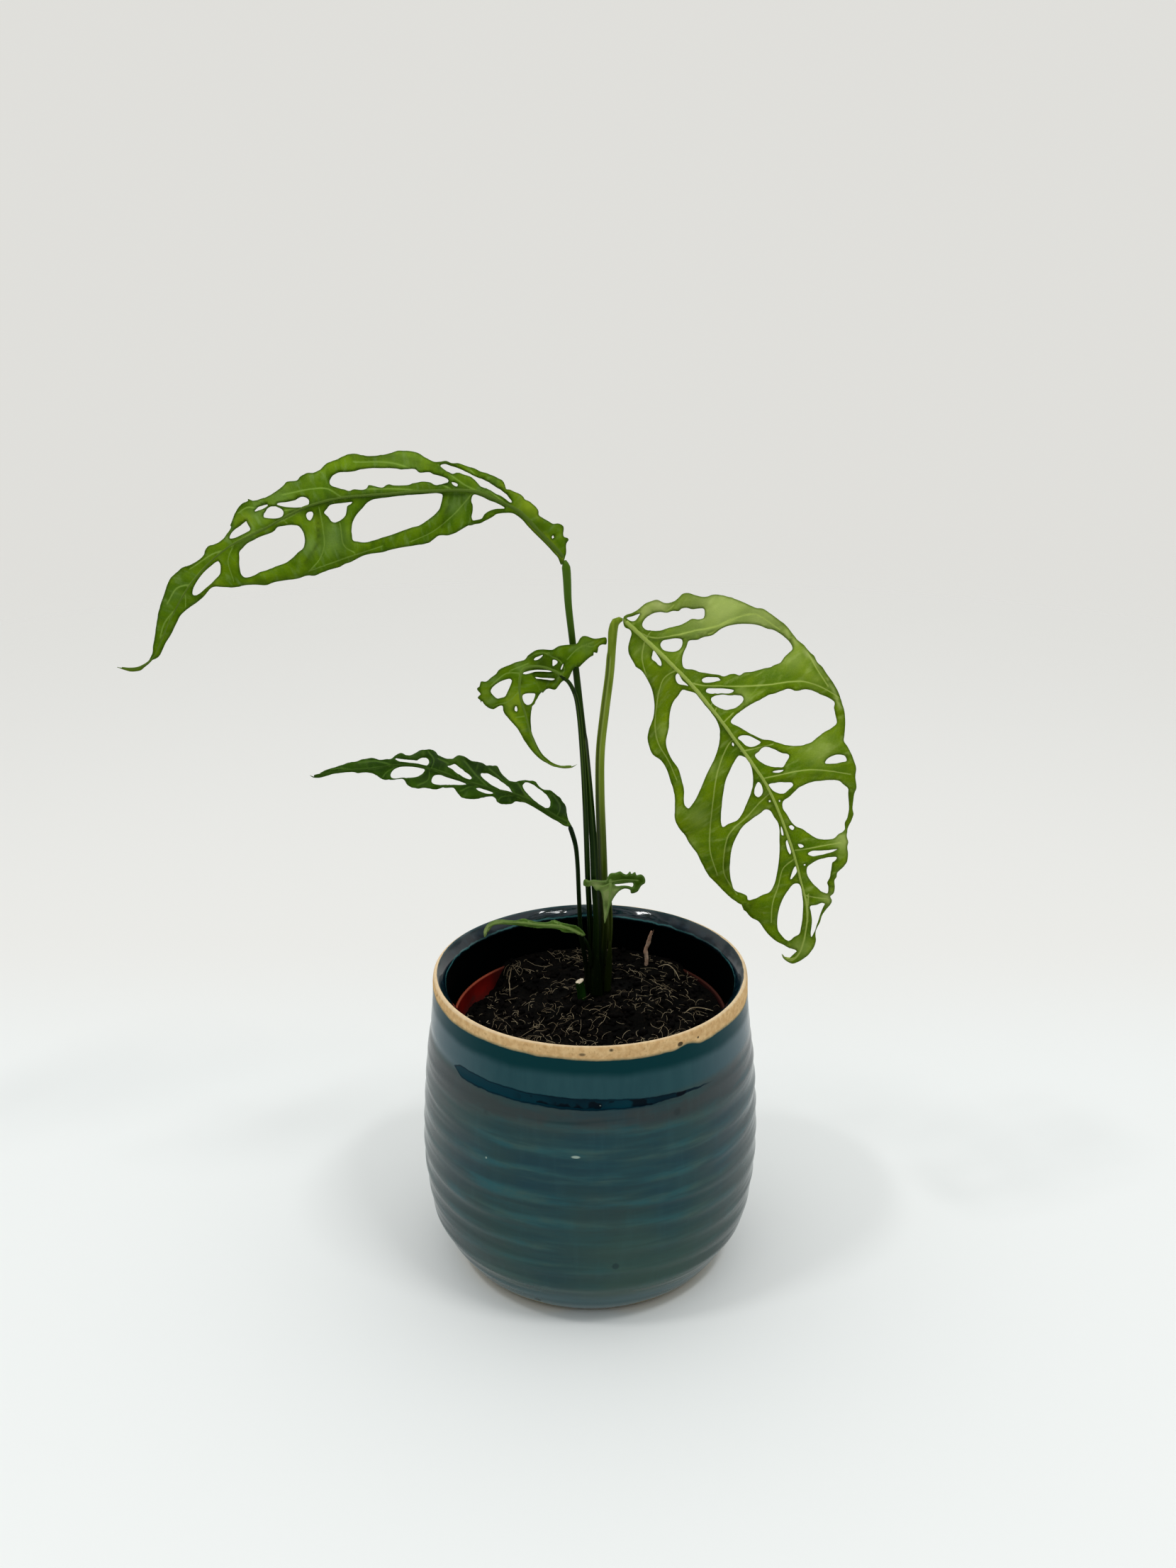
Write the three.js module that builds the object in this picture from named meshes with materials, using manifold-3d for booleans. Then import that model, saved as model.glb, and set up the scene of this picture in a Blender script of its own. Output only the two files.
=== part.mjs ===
// A young monstera in a terracotta-coloured nursery pot, standing in a thrown, glazed cover pot.
// Millimetres, +Z up, +Y away from the viewer. The origin is the middle of the cover pot's foot.
import * as THREE from 'three';
import { mergeVertices } from 'three/addons/utils/BufferGeometryUtils.js';
import { TessellateModifier } from 'three/addons/modifiers/TessellateModifier.js';
import Module from 'manifold-3d';

const wasm = await Module();
wasm.setup();

// Driving sizes
const GAP = 0.3;
const POT_HEIGHT = 137;
const POT_RIM_RADIUS = 68.3;
const POT_FOOT_RADIUS = 50.5;
const POT_WALL = 5;
const POT_FLOOR = 7.5;
const POT_SIDES = 40;
const NURSERY_RIM_RADIUS = 60;
const NURSERY_RIM_HEIGHT = 116;
const NURSERY_BASE_RADIUS = 43;
const NURSERY_WALL = 1.3;
const NURSERY_RIM_BAND = 9;
const NURSERY_SIDES = 36;
const DRAIN_HOLES = 6;
const DRAIN_HOLE_RADIUS = 4;
const DRAIN_CIRCLE_RADIUS = 27;
const SOIL_LEVEL = 110.5;
const SOIL_MOUND = 9.5;
const HOLE_CLEARANCE = 0.45;
const BLADE_THICKNESS = 0.9;
const BLADE_MESH_STEP = 40;
const CROWN_CENTRE = { x: 3.3, y: 14 };
const CROWN_TOP = 142.5;
const PLANTING_DEPTH = 6;

// The eye from which every outline below is seen: points of an outline are picture points, and a
// depth in millimetres along +Y lays each of them down in space.
const EYE = new THREE.Vector3(-1, -716, 504);
const EYE_PITCH = THREE.MathUtils.degToRad(21.4);
const PICTURE_FOCAL = 2600;
const PICTURE_CENTRE = { x: 829.5, y: 1106 };
const MM_PER_PICTURE_UNIT = 0.285;

const COLOURS = {
  glaze: { color: 0x2b4a4f, roughness: 0.25, metalness: 0 },
  terracotta: { color: 0x7a3020, roughness: 0.55, metalness: 0 },
  soil: { color: 0x17130f, roughness: 1, metalness: 0 },
  fibre: { color: 0x8f7f63, roughness: 0.9, metalness: 0 },
  stalk: { color: 0x43552a, roughness: 0.5, metalness: 0 },
  paleStalk: { color: 0x637725, roughness: 0.5, metalness: 0 },
  leaf: { color: 0x4a6b1c, roughness: 0.45, metalness: 0 },
  brightLeaf: { color: 0x6f9036, roughness: 0.45, metalness: 0 },
  darkLeaf: { color: 0x364a21, roughness: 0.45, metalness: 0 },
};

const group = new THREE.Group();

function sight(px, py, depth) {
  const across = (px - PICTURE_CENTRE.x) / PICTURE_FOCAL;
  const down = (py - PICTURE_CENTRE.y) / PICTURE_FOCAL;
  const sin = Math.sin(EYE_PITCH);
  const cos = Math.cos(EYE_PITCH);
  const ray = new THREE.Vector3(across, cos - down * sin, -sin - down * cos);
  const reach = (depth - EYE.y) / ray.y;
  return ray.multiplyScalar(reach).add(EYE);
}

function closedSolid(geometry) {
  const bare = geometry.clone();
  bare.deleteAttribute('normal');
  bare.deleteAttribute('uv');
  const merged = mergeVertices(bare, 1e-4);
  const { array } = merged.getAttribute('position');
  const faces = [];
  const index = merged.getIndex().array;
  let volume = 0;
  for (let i = 0; i < index.length; i += 3) {
    const [a, b, c] = [index[i], index[i + 1], index[i + 2]];
    if (a === b || b === c || c === a) continue;
    faces.push(a, b, c);
    const va = new THREE.Vector3().fromArray(array, a * 3);
    const vb = new THREE.Vector3().fromArray(array, b * 3);
    const vc = new THREE.Vector3().fromArray(array, c * 3);
    volume += va.dot(vb.cross(vc));
  }
  if (volume < 0) faces.reverse();
  const closed = new THREE.BufferGeometry();
  closed.setAttribute('position', merged.getAttribute('position'));
  closed.setIndex(faces);
  return closed;
}

function toManifold(geometry) {
  const closed = closedSolid(geometry);
  const vertProperties = new Float32Array(closed.getAttribute('position').array);
  const triVerts = new Uint32Array(closed.getIndex().array);
  return new wasm.Manifold(new wasm.Mesh({ numProp: 3, vertProperties, triVerts }));
}

function fromManifold(manifold) {
  const { vertProperties, triVerts } = manifold.getMesh();
  const geometry = new THREE.BufferGeometry();
  geometry.setAttribute('position', new THREE.BufferAttribute(vertProperties, 3));
  geometry.setIndex(new THREE.BufferAttribute(triVerts, 1));
  return geometry;
}

function addPiece(name, geometry, finish) {
  const mesh = new THREE.Mesh(geometry, new THREE.MeshStandardMaterial(finish));
  mesh.name = name;
  group.add(mesh);
}

function turned(profile, sides) {
  const points = profile.map(([radius, height]) => new THREE.Vector2(radius, height));
  return new THREE.LatheGeometry(points, sides).rotateX(Math.PI / 2);
}

// Stalks: round rods that follow a curve, each knot with its own radius
function rod(knots, sides = 8, stepLength = 7) {
  const curve = new THREE.CatmullRomCurve3(knots.map((knot) => knot.at), false, 'centripetal');
  const steps = Math.max(3, Math.round(curve.getLength() / stepLength));
  const frames = curve.computeFrenetFrames(steps, false);
  const geometry = new THREE.CylinderGeometry(1, 1, 1, sides, steps);
  const position = geometry.getAttribute('position');
  for (let i = 0; i < position.count; i += 1) {
    const along = position.getY(i) + 0.5;
    const step = Math.round(along * steps);
    const place = curve.getUtoTmapping(along) * (knots.length - 1);
    const lower = Math.min(Math.floor(place), knots.length - 2);
    const radius = THREE.MathUtils.lerp(knots[lower].radius, knots[lower + 1].radius, place - lower);
    const point = curve.getPointAt(along);
    point.addScaledVector(frames.normals[step], position.getX(i) * radius);
    point.addScaledVector(frames.binormals[step], -position.getZ(i) * radius);
    position.setXYZ(i, point.x, point.y, point.z);
  }
  return closedSolid(geometry);
}

function seenKnots(list) {
  return list.map(([px, py, depth, radius]) => ({ at: sight(px, py, depth), radius }));
}

function footKnot(x, y, z, radius) {
  return { at: new THREE.Vector3(x, y, z), radius };
}

// Leaf blades: an outline with its holes, laid along a rib whose two halves fall away to each side
function ribTable(rib) {
  const curve = new THREE.CatmullRomCurve3(
    rib.map(([px, py, depth]) => new THREE.Vector3(px, py, depth)), false, 'centripetal');
  return curve.getPoints(rib.length * 6);
}

function nearestOnRib(table, px, py) {
  let best = { distance: Infinity };
  for (let i = 0; i < table.length - 1; i += 1) {
    const [a, b] = [table[i], table[i + 1]];
    const [ex, ey] = [b.x - a.x, b.y - a.y];
    const t = THREE.MathUtils.clamp(((px - a.x) * ex + (py - a.y) * ey) / (ex * ex + ey * ey), 0, 1);
    const [dx, dy] = [px - a.x - ex * t, py - a.y - ey * t];
    const distance = Math.hypot(dx, dy);
    if (distance < best.distance) {
      const side = Math.sign(ex * dy - ey * dx) || 1;
      best = { distance, side, along: i + t, depth: THREE.MathUtils.lerp(a.z, b.z, t) };
    }
  }
  return best;
}

function bladeSurface(leaf) {
  const table = ribTable(leaf.rib);
  return (px, py) => {
    const near = nearestOnRib(table, px, py);
    const width = near.distance * MM_PER_PICTURE_UNIT;
    const slope = near.side < 0 ? leaf.slopes[0] : leaf.slopes[1];
    const wave = leaf.ripple * Math.sin(near.along * leaf.rippleRate) * Math.min(width / 15, 1);
    return sight(px, py, near.depth + slope * width + wave);
  };
}

function blade(leaf) {
  const shape = new THREE.Shape(leaf.outline.map(([px, py]) => new THREE.Vector2(px, py)));
  for (const hole of leaf.holes) {
    shape.holes.push(new THREE.Path(hole.map(([px, py]) => new THREE.Vector2(px, py))));
  }
  const flat = new THREE.ExtrudeGeometry(shape, { depth: 1, steps: 1, bevelEnabled: false });
  const fine = new TessellateModifier(BLADE_MESH_STEP, 24).modify(flat);
  const surface = bladeSurface(leaf);
  const position = fine.getAttribute('position');
  const probe = 2;
  for (let i = 0; i < position.count; i += 1) {
    const [px, py, layer] = [position.getX(i), position.getY(i), position.getZ(i)];
    const middle = surface(px, py);
    const right = surface(px + probe, py).sub(surface(px - probe, py));
    const down = surface(px, py + probe).sub(surface(px, py - probe));
    const normal = right.cross(down).normalize();
    middle.addScaledVector(normal, (layer - 0.5) * BLADE_THICKNESS);
    position.setXYZ(i, middle.x, middle.y, middle.z);
  }
  return closedSolid(fine);
}

// Cover pot: one turned wall, round-shouldered, with a lip that leans inwards
const potProfile = [
  [0, 0],
  [POT_FOOT_RADIUS, 0],
  [52.4, 0.9],
  [58, 5.4],
  [63.9, 12],
  [69.9, 22],
  [72.8, 37],
  [74.1, 57],
  [73, 82],
  [70.6, 107],
  [POT_RIM_RADIUS, 127],
  [POT_RIM_RADIUS, 134.5],
  [67.6, POT_HEIGHT - 0.4],
  [66.9, POT_HEIGHT],
  [66.1, POT_HEIGHT - 0.6],
  [62.2, 128],
  [62.6, 124],
  [70.6 - POT_WALL, 107],
  [73 - POT_WALL, 82],
  [74.1 - POT_WALL, 57],
  [72.8 - POT_WALL, 37],
  [69.9 - POT_WALL - 0.8, 22],
  [57.4, 12],
  [52, 8.6],
  [48, POT_FLOOR],
  [0, POT_FLOOR],
];
addPiece('cover_pot', closedSolid(turned(potProfile, POT_SIDES)), COLOURS.glaze);

// Nursery pot: a thin tapered plastic pot with a rim band and drain holes
const nurseryBase = POT_FLOOR + GAP;
const nurseryBand = NURSERY_RIM_HEIGHT - NURSERY_RIM_BAND;
const nurseryShoulder = NURSERY_RIM_RADIUS - 2.5;
const nurseryProfile = [
  [0, nurseryBase],
  [NURSERY_BASE_RADIUS, nurseryBase],
  [nurseryShoulder, nurseryBand - 1],
  [NURSERY_RIM_RADIUS, nurseryBand],
  [NURSERY_RIM_RADIUS, NURSERY_RIM_HEIGHT - 0.4],
  [NURSERY_RIM_RADIUS - NURSERY_WALL / 2, NURSERY_RIM_HEIGHT],
  [NURSERY_RIM_RADIUS - NURSERY_WALL, NURSERY_RIM_HEIGHT - 0.4],
  [NURSERY_RIM_RADIUS - NURSERY_WALL, nurseryBand + 0.6],
  [nurseryShoulder - NURSERY_WALL, nurseryBand - 1],
  [NURSERY_BASE_RADIUS - NURSERY_WALL, nurseryBase + NURSERY_WALL + 0.4],
  [0, nurseryBase + NURSERY_WALL + 0.4],
];
let nursery = toManifold(turned(nurseryProfile, NURSERY_SIDES));
for (let i = 0; i < DRAIN_HOLES; i += 1) {
  const angle = (i + 0.5) * 2 * Math.PI / DRAIN_HOLES;
  const drain = new THREE.CylinderGeometry(DRAIN_HOLE_RADIUS, DRAIN_HOLE_RADIUS, 12, 12);
  drain.rotateX(Math.PI / 2);
  drain.translate(Math.cos(angle) * DRAIN_CIRCLE_RADIUS, Math.sin(angle) * DRAIN_CIRCLE_RADIUS, nurseryBase);
  nursery = nursery.subtract(toManifold(drain));
}
addPiece('nursery_pot', fromManifold(nursery), COLOURS.terracotta);

// Potting soil: fills the nursery pot, heaped round the plant and sunken on the left
function soilHeight(x, y) {
  const heap = Math.exp(-((x - 8) ** 2 + (y - 20) ** 2) / (2 * 27 ** 2));
  const lean = (2.4 * x + 1.6 * y) / NURSERY_RIM_RADIUS;
  const clods = 0.8 * Math.sin(0.31 * x + 0.7) * Math.cos(0.27 * y + 0.4) + 0.5 * Math.sin(0.13 * x - 0.22 * y);
  const edge = 2.4 * THREE.MathUtils.smoothstep(Math.hypot(x, y), 44, NURSERY_RIM_RADIUS);
  return SOIL_LEVEL + SOIL_MOUND * heap + lean + clods - edge;
}

function rodHole(x, y, radius) {
  const top = soilHeight(x, y);
  const hole = new THREE.CylinderGeometry(
    radius + HOLE_CLEARANCE, radius + HOLE_CLEARANCE, PLANTING_DEPTH * 4, 14);
  hole.rotateX(Math.PI / 2);
  hole.translate(x, y, top - PLANTING_DEPTH + PLANTING_DEPTH * 2);
  return toManifold(hole);
}

const soilFloor = nurseryBase + NURSERY_WALL + 0.4 + GAP;
const soilSide = nurseryShoulder - NURSERY_WALL - GAP * 2;
const soilRings = [50, 42, 34, 26, 18, 9, 0];
const soilProfile = [
  [0, soilFloor],
  [NURSERY_BASE_RADIUS - NURSERY_WALL - GAP * 2, soilFloor],
  [soilSide, nurseryBand - 2],
  ...[soilSide, ...soilRings].map((radius) => [radius, SOIL_LEVEL]),
];
const soilTurned = turned(soilProfile, NURSERY_SIDES);
const soilPosition = soilTurned.getAttribute('position');
for (let i = 0; i < soilPosition.count; i += 1) {
  const [x, y, z] = [soilPosition.getX(i), soilPosition.getY(i), soilPosition.getZ(i)];
  if (z > SOIL_LEVEL - 0.01) soilPosition.setZ(i, soilHeight(x, y));
}
let soil = toManifold(soilTurned);

// Crown: the short stem that carries the petioles
const crownFoot = soilHeight(CROWN_CENTRE.x, CROWN_CENTRE.y) - PLANTING_DEPTH + GAP;
const crownKnots = [
  footKnot(CROWN_CENTRE.x, CROWN_CENTRE.y, crownFoot, 3.2),
  footKnot(CROWN_CENTRE.x, CROWN_CENTRE.y, 122, 3),
  footKnot(CROWN_CENTRE.x, CROWN_CENTRE.y, 131, 3.1),
  footKnot(CROWN_CENTRE.x - 0.1, CROWN_CENTRE.y - 0.1, 138, 3.9),
  footKnot(CROWN_CENTRE.x - 0.2, CROWN_CENTRE.y - 0.1, CROWN_TOP, 4.4),
];
addPiece('crown_stem', rod(crownKnots, 14, 5), COLOURS.stalk);
soil = soil.subtract(rodHole(CROWN_CENTRE.x, CROWN_CENTRE.y, 3.2));

// Petioles: read from the crown upwards as picture point, depth and radius
const petioleStart = CROWN_TOP + GAP;
const petioleUpperLeft = [
  footKnot(2.9, 11.7, petioleStart, 1.6),
  ...seenKnots([
    [842, 1300, 11.8, 1.6], [838.5, 1237, 11.8, 1.55], [836, 1180, 11.9, 1.5], [831, 1120, 12, 1.5],
    [824, 1050, 12, 1.5], [818.5, 1000, 12.2, 1.45], [813, 950, 12.4, 1.45], [806.5, 895, 12.4, 1.45],
    [801.5, 850, 12, 1.5], [799.8, 815, 11, 1.7], [798.5, 800, 10.4, 1.75], [796.8, 791.2, 10, 1.7],
  ]),
];
const petioleRight = [
  footKnot(5.8, 15.4, petioleStart + 0.2, 1.9),
  ...seenKnots([
    [852.5, 1300, 15.3, 1.95], [851, 1237, 15, 1.95], [849, 1180, 14.4, 1.9], [847, 1120, 13.4, 1.8],
    [847.5, 1060, 12, 1.75], [854, 1000, 10, 1.75], [860.5, 950, 8.4, 1.7], [863.5, 910, 7.2, 1.7],
    [865, 888, 6.4, 1.75], [868.5, 877.5, 5.8, 1.7], [874.5, 874, 5.4, 1.6], [878.4, 874.4, 5.2, 1.5],
  ]),
];
const petioleMiddle = [
  footKnot(0.3, 15.2, petioleStart, 1.15),
  ...seenKnots([
    [831.5, 1290, 14.2, 1.15], [829, 1237, 12.6, 1.15], [827, 1180, 10.8, 1.1], [824.5, 1120, 9.6, 1.05],
    [821, 1060, 8.8, 1], [817, 1012, 8.6, 0.95], [812.5, 984, 7.9, 0.9], [807, 970, 6.4, 0.9],
    [801.6, 962.4, 4.8, 0.85],
  ]),
];
const lowerLeftFoot = { x: -1.3, y: 13.6 };
const petioleLowerLeft = [
  footKnot(lowerLeftFoot.x, lowerLeftFoot.y,
    soilHeight(lowerLeftFoot.x, lowerLeftFoot.y) - PLANTING_DEPTH + GAP, 1.05),
  ...seenKnots([
    [828, 1375, 13.5, 1.05], [824, 1345, 13.4, 1], [819.5, 1318, 13, 1], [817, 1272, 12, 0.95],
    [814.5, 1216, 10, 0.95], [812, 1193, 8.6, 1], [808, 1178, 7.4, 1.05], [803.2, 1163.8, 6.3, 1.1],
  ]),
];
const petioleSmallRight = seenKnots([
  [854.5, 1362, 12, 0.6], [858, 1350, 11.4, 0.65], [861, 1325, 11.1, 0.7], [861.5, 1295, 10.8, 0.7],
  [860.5, 1272, 9.4, 0.7], [861, 1258, 8.2, 0.65], [861, 1249.5, 7.4, 0.6],
]);
const petioleLowLeft = seenKnots([
  [834, 1364, 10.9, 0.6], [833, 1350, 10, 0.65], [831, 1338, 9.6, 0.7], [827, 1328, 9.3, 0.65],
  [824.2, 1322, 9.1, 0.55],
]);
addPiece('petiole_upper_left', rod(petioleUpperLeft), COLOURS.stalk);
addPiece('petiole_right', rod(petioleRight), COLOURS.paleStalk);
addPiece('petiole_middle', rod(petioleMiddle, 7), COLOURS.stalk);
addPiece('petiole_lower_left', rod(petioleLowerLeft, 7), COLOURS.stalk);
addPiece('petiole_small_right', rod(petioleSmallRight, 6, 6), COLOURS.paleStalk);
addPiece('petiole_low_left', rod(petioleLowLeft, 6, 5), COLOURS.stalk);
soil = soil.subtract(rodHole(lowerLeftFoot.x, lowerLeftFoot.y, 1.05));

// Cut petiole stub and twig, both standing in the soil
const stubFoot = { x: -4, y: 9.1 };
const stubHeight = soilHeight(stubFoot.x, stubFoot.y);
addPiece('cut_petiole_stub', rod([
  footKnot(stubFoot.x, stubFoot.y, stubHeight - PLANTING_DEPTH + GAP, 1.95),
  footKnot(stubFoot.x - 0.2, stubFoot.y, stubHeight + 2, 1.95),
  footKnot(stubFoot.x - 0.6, stubFoot.y, stubHeight + 8, 1.85),
], 10, 4), COLOURS.stalk);
soil = soil.subtract(rodHole(stubFoot.x, stubFoot.y, 2));

const twigFoot = { x: 25.6, y: 42 };
const twigHeight = soilHeight(twigFoot.x, twigFoot.y);
addPiece('soil_twig', rod([
  footKnot(twigFoot.x, twigFoot.y, twigHeight - PLANTING_DEPTH + GAP, 0.8),
  footKnot(twigFoot.x + 0.3, twigFoot.y + 0.2, twigHeight + 3, 0.85),
  footKnot(twigFoot.x + 1.2, twigFoot.y + 0.5, twigHeight + 10, 0.8),
  footKnot(twigFoot.x + 3.2, twigFoot.y + 0.6, twigHeight + 18.5, 0.5),
], 6, 5), COLOURS.fibre);
soil = soil.subtract(rodHole(twigFoot.x, twigFoot.y, 0.8));
addPiece('potting_soil', fromManifold(soil), COLOURS.soil);

// Loose root fibres that lie on the soil and arch a little above it
function fibre(places, radius) {
  return rod(places.map(([x, y, lift]) => footKnot(x, y, soilHeight(x, y) + radius + GAP + lift, radius)), 5, 4);
}
addPiece('root_fibre_right', fibre([[31, 36, 0.4], [35, 35, 3], [38, 32, 3.4], [40.5, 27, 0.5]], 0.4), COLOURS.fibre);
addPiece('root_fibre_left', fibre([[-36, 40, 0.5], [-37, 34, 2.2], [-36.5, 27, 2], [-36, 19.5, 0.4]], 0.4), COLOURS.fibre);
addPiece('root_fibre_front', fibre([[41, -2.5, 0.4], [44.5, 0, 1.6], [49.5, 1.5, 1.6], [54, 0.6, 0.4]], 0.45), COLOURS.fibre);

// Leaf blades. Slopes give the depth gained per millimetre away from the rib, left then right of it
// as the rib is followed from the petiole to the tip.
const leafRight = {
  rib: [[880, 875, 4.8], [925, 916, -2], [970, 960, -9], [1008, 1005, -15], [1050, 1062, -20],
    [1082, 1109, -23], [1110, 1175, -25], [1129, 1240, -25], [1139, 1292, -23], [1127, 1346, -20],
    [1103, 1348, -18.5]],
  slopes: [0.48, 0.4],
  ripple: 2,
  rippleRate: 0.62,
  outline: [[881, 869], [902, 858], [918, 848], [938, 850], [957, 844], [971, 836], [998, 841], [1019, 839],
    [1046, 848], [1075, 858], [1098, 873], [1117, 893], [1148, 925], [1160, 941], [1173, 959], [1184, 980],
    [1191, 1002], [1191, 1038], [1201, 1064], [1207, 1082], [1207, 1109], [1202, 1142], [1195, 1172],
    [1195, 1193], [1194, 1214], [1180, 1232], [1177, 1253], [1173, 1269], [1160, 1291], [1151, 1311],
    [1149, 1333], [1136, 1349], [1117, 1359], [1104, 1351], [1103, 1346], [1112, 1354], [1124, 1341],
    [1107, 1334], [1086, 1320], [1071, 1300], [1050, 1280], [1030, 1265], [1010, 1245], [991, 1218],
    [973, 1189], [952, 1154], [952, 1125], [946, 1101], [936, 1077], [921, 1063], [914, 1040], [921, 1014],
    [922, 985], [912, 957], [897, 939], [887, 914], [891, 893], [881, 884]],
  holes: [
    [[906, 882], [916, 869], [932, 864], [958, 862], [968, 857], [993, 859], [993, 870], [976, 872],
      [959, 881], [932, 888], [913, 888]],
    [[932, 910], [935, 904], [955, 901], [963, 905], [958, 916], [942, 918]],
    [[965, 942], [962, 930], [968, 912], [984, 904], [1014, 889], [1036, 882], [1063, 881], [1091, 889],
      [1113, 905], [1118, 915], [1101, 934], [1078, 942], [1044, 952], [1012, 952], [978, 944]],
    [[996, 975], [1010, 970], [1035, 973], [1014, 978]],
    [[1003, 985], [1021, 979], [1049, 984], [1042, 995], [1024, 1000], [1009, 995]],
    [[1031, 1019], [1049, 1001], [1074, 987], [1095, 978], [1115, 973], [1147, 975], [1178, 992],
      [1180, 1020], [1164, 1032], [1146, 1046], [1121, 1051], [1097, 1047], [1064, 1039], [1043, 1027]],
    [[1040, 1040], [1056, 1037], [1075, 1047], [1061, 1054], [1046, 1046]],
    [[1064, 1065], [1076, 1053], [1092, 1058], [1113, 1066], [1104, 1081], [1086, 1080], [1069, 1071]],
    [[1164, 1076], [1176, 1066], [1192, 1067], [1194, 1073], [1177, 1077]],
    [[1084, 1107], [1105, 1104], [1119, 1107], [1107, 1120], [1090, 1115]],
    [[1104, 1140], [1104, 1130], [1125, 1112], [1152, 1102], [1182, 1101], [1196, 1112], [1197, 1140],
      [1184, 1176], [1162, 1184], [1140, 1175], [1122, 1165], [1110, 1148]],
    [[1138, 1231], [1140, 1221], [1160, 1209], [1180, 1208], [1171, 1241], [1168, 1262], [1151, 1250]],
    [[1143, 1279], [1160, 1273], [1152, 1306], [1144, 1323]],
    [[963, 973], [981, 978], [1004, 1006], [1015, 1026], [1013, 1054], [999, 1086], [987, 1114], [970, 1141],
      [965, 1122], [961, 1098], [943, 1062], [940, 1049], [946, 1003], [957, 982]],
    [[1042, 1066], [1056, 1072], [1062, 1094], [1059, 1120], [1046, 1148], [1019, 1166], [1018, 1138],
      [1024, 1101], [1035, 1077]],
    [[1064, 1114], [1070, 1101], [1077, 1116], [1069, 1126]],
    [[1080, 1141], [1093, 1151], [1100, 1172], [1101, 1200], [1092, 1246], [1085, 1258], [1056, 1271],
      [1036, 1256], [1030, 1229], [1033, 1196], [1049, 1166], [1073, 1147]],
    [[1120, 1245], [1131, 1250], [1135, 1279], [1131, 1309], [1109, 1327], [1097, 1313], [1099, 1283],
      [1112, 1255]],
  ],
};
addPiece('leaf_right', blade(leafRight), COLOURS.brightLeaf);

const leafUpperLeft = {
  rib: [[797, 788, 10], [780, 770, 8], [760, 750, 6], [730, 720, 4], [685, 698, 1], [625, 693, -3],
    [545, 698, -7], [472, 705, -10], [420, 720, -12], [375, 745, -14], [318, 775, -16], [272, 820, -18],
    [240, 875, -20], [214, 930, -22], [165, 941, -23]],
  slopes: [-0.3, 1.1],
  ripple: 1.8,
  rippleRate: 0.5,
  outline: [[802, 786], [799, 770], [801, 761], [795, 757], [796, 744], [788, 738], [770, 732], [759, 724],
    [750, 709], [738, 701], [719, 690], [712, 682], [703, 674], [680, 665], [655, 655], [630, 650],
    [606, 648], [588, 638], [562, 635], [535, 641], [499, 640], [475, 649], [450, 663], [434, 667],
    [419, 677], [400, 686], [372, 701], [350, 706], [333, 722], [326, 740], [312, 763], [295, 769],
    [284, 787], [268, 797], [252, 806], [238, 823], [229, 848], [221, 882], [217, 910], [209, 935],
    [190, 942], [165, 941], [192, 947], [213, 935], [225, 925], [240, 897], [254, 869], [280, 848],
    [297, 830], [325, 829], [348, 824], [375, 826], [420, 816], [450, 809], [493, 794], [522, 781],
    [555, 774], [604, 766], [624, 755], [647, 750], [668, 739], [685, 734], [700, 726], [724, 724],
    [745, 743], [770, 768], [790, 789.5]],
  holes: [
    [[466, 683], [468, 672], [498, 666], [520, 661], [585, 662], [598, 666], [630, 676], [633, 680],
      [614, 683], [597, 678], [575, 683], [549, 682], [520, 684], [513, 691], [495, 692], [475, 687]],
    [[621, 658], [635, 657], [665, 669], [700, 688], [722, 708], [700, 696], [672, 684], [657, 670],
      [639, 668]],
    [[668, 698], [690, 705], [711, 717], [690, 721], [680, 731], [668, 734], [666, 712]],
    [[498, 762], [496, 745], [503, 726], [525, 703], [560, 698], [618, 694], [624, 703], [620, 718],
      [592, 741], [555, 753], [515, 765]],
    [[457, 723], [472, 711], [496, 708], [487, 728], [472, 737]],
    [[432, 726], [440, 721], [440, 731], [436, 734]],
    [[345, 814], [338, 803], [337, 779], [350, 766], [383, 751], [400, 740], [420, 741], [430, 765],
      [413, 787], [367, 807]],
    [[272, 839], [276, 823], [297, 799], [308, 791], [311, 803], [297, 824]],
    [[325, 759], [328, 750], [347, 736], [353, 747]],
    [[371, 728], [380, 716], [399, 720], [396, 730]],
    [[391, 712], [425, 702], [436, 710], [430, 716]],
  ],
};
addPiece('leaf_upper_left', blade(leafUpperLeft), COLOURS.leaf);

const leafMiddle = {
  rib: [[800, 961, 4.4], [785, 948, 3], [760, 940, 1.6], [738, 946, 0.4], [733, 975, -1.6], [742, 1010, -3],
    [752, 1045, -4], [770, 1074, -4.6], [812, 1080, -4]],
  slopes: [0.45, 0.35],
  ripple: 1.2,
  rippleRate: 0.9,
  outline: [[855, 899], [839, 901], [826, 897], [818, 902], [812, 909], [793, 910], [780, 916], [757, 917],
    [744, 926], [735, 932], [718, 938], [703, 945], [692, 956], [680, 961], [674, 971], [676, 980],
    [684, 993], [697, 999], [709, 996], [713, 1007], [728, 1025], [740, 1045], [757, 1066], [773, 1077],
    [790, 1083], [808, 1082], [814, 1077], [795, 1081], [779, 1076], [766, 1065], [754, 1044], [749, 1024],
    [750, 1003], [756, 989], [770, 973], [784, 971], [794, 961.5], [800.5, 960], [811, 941], [817, 941],
    [833, 926], [843, 914], [855, 909]],
  holes: [
    [[737, 985], [738, 980], [743, 978], [756, 979], [752, 992], [743, 995]],
    [[692, 976], [698, 967], [720, 958], [716, 976], [706, 985], [697, 982]],
    [[736, 950], [755, 944], [779, 948], [755, 948.4]],
    [[780, 931], [787, 934], [781, 940]],
  ],
};
addPiece('leaf_middle', blade(leafMiddle), COLOURS.leaf);

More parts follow.
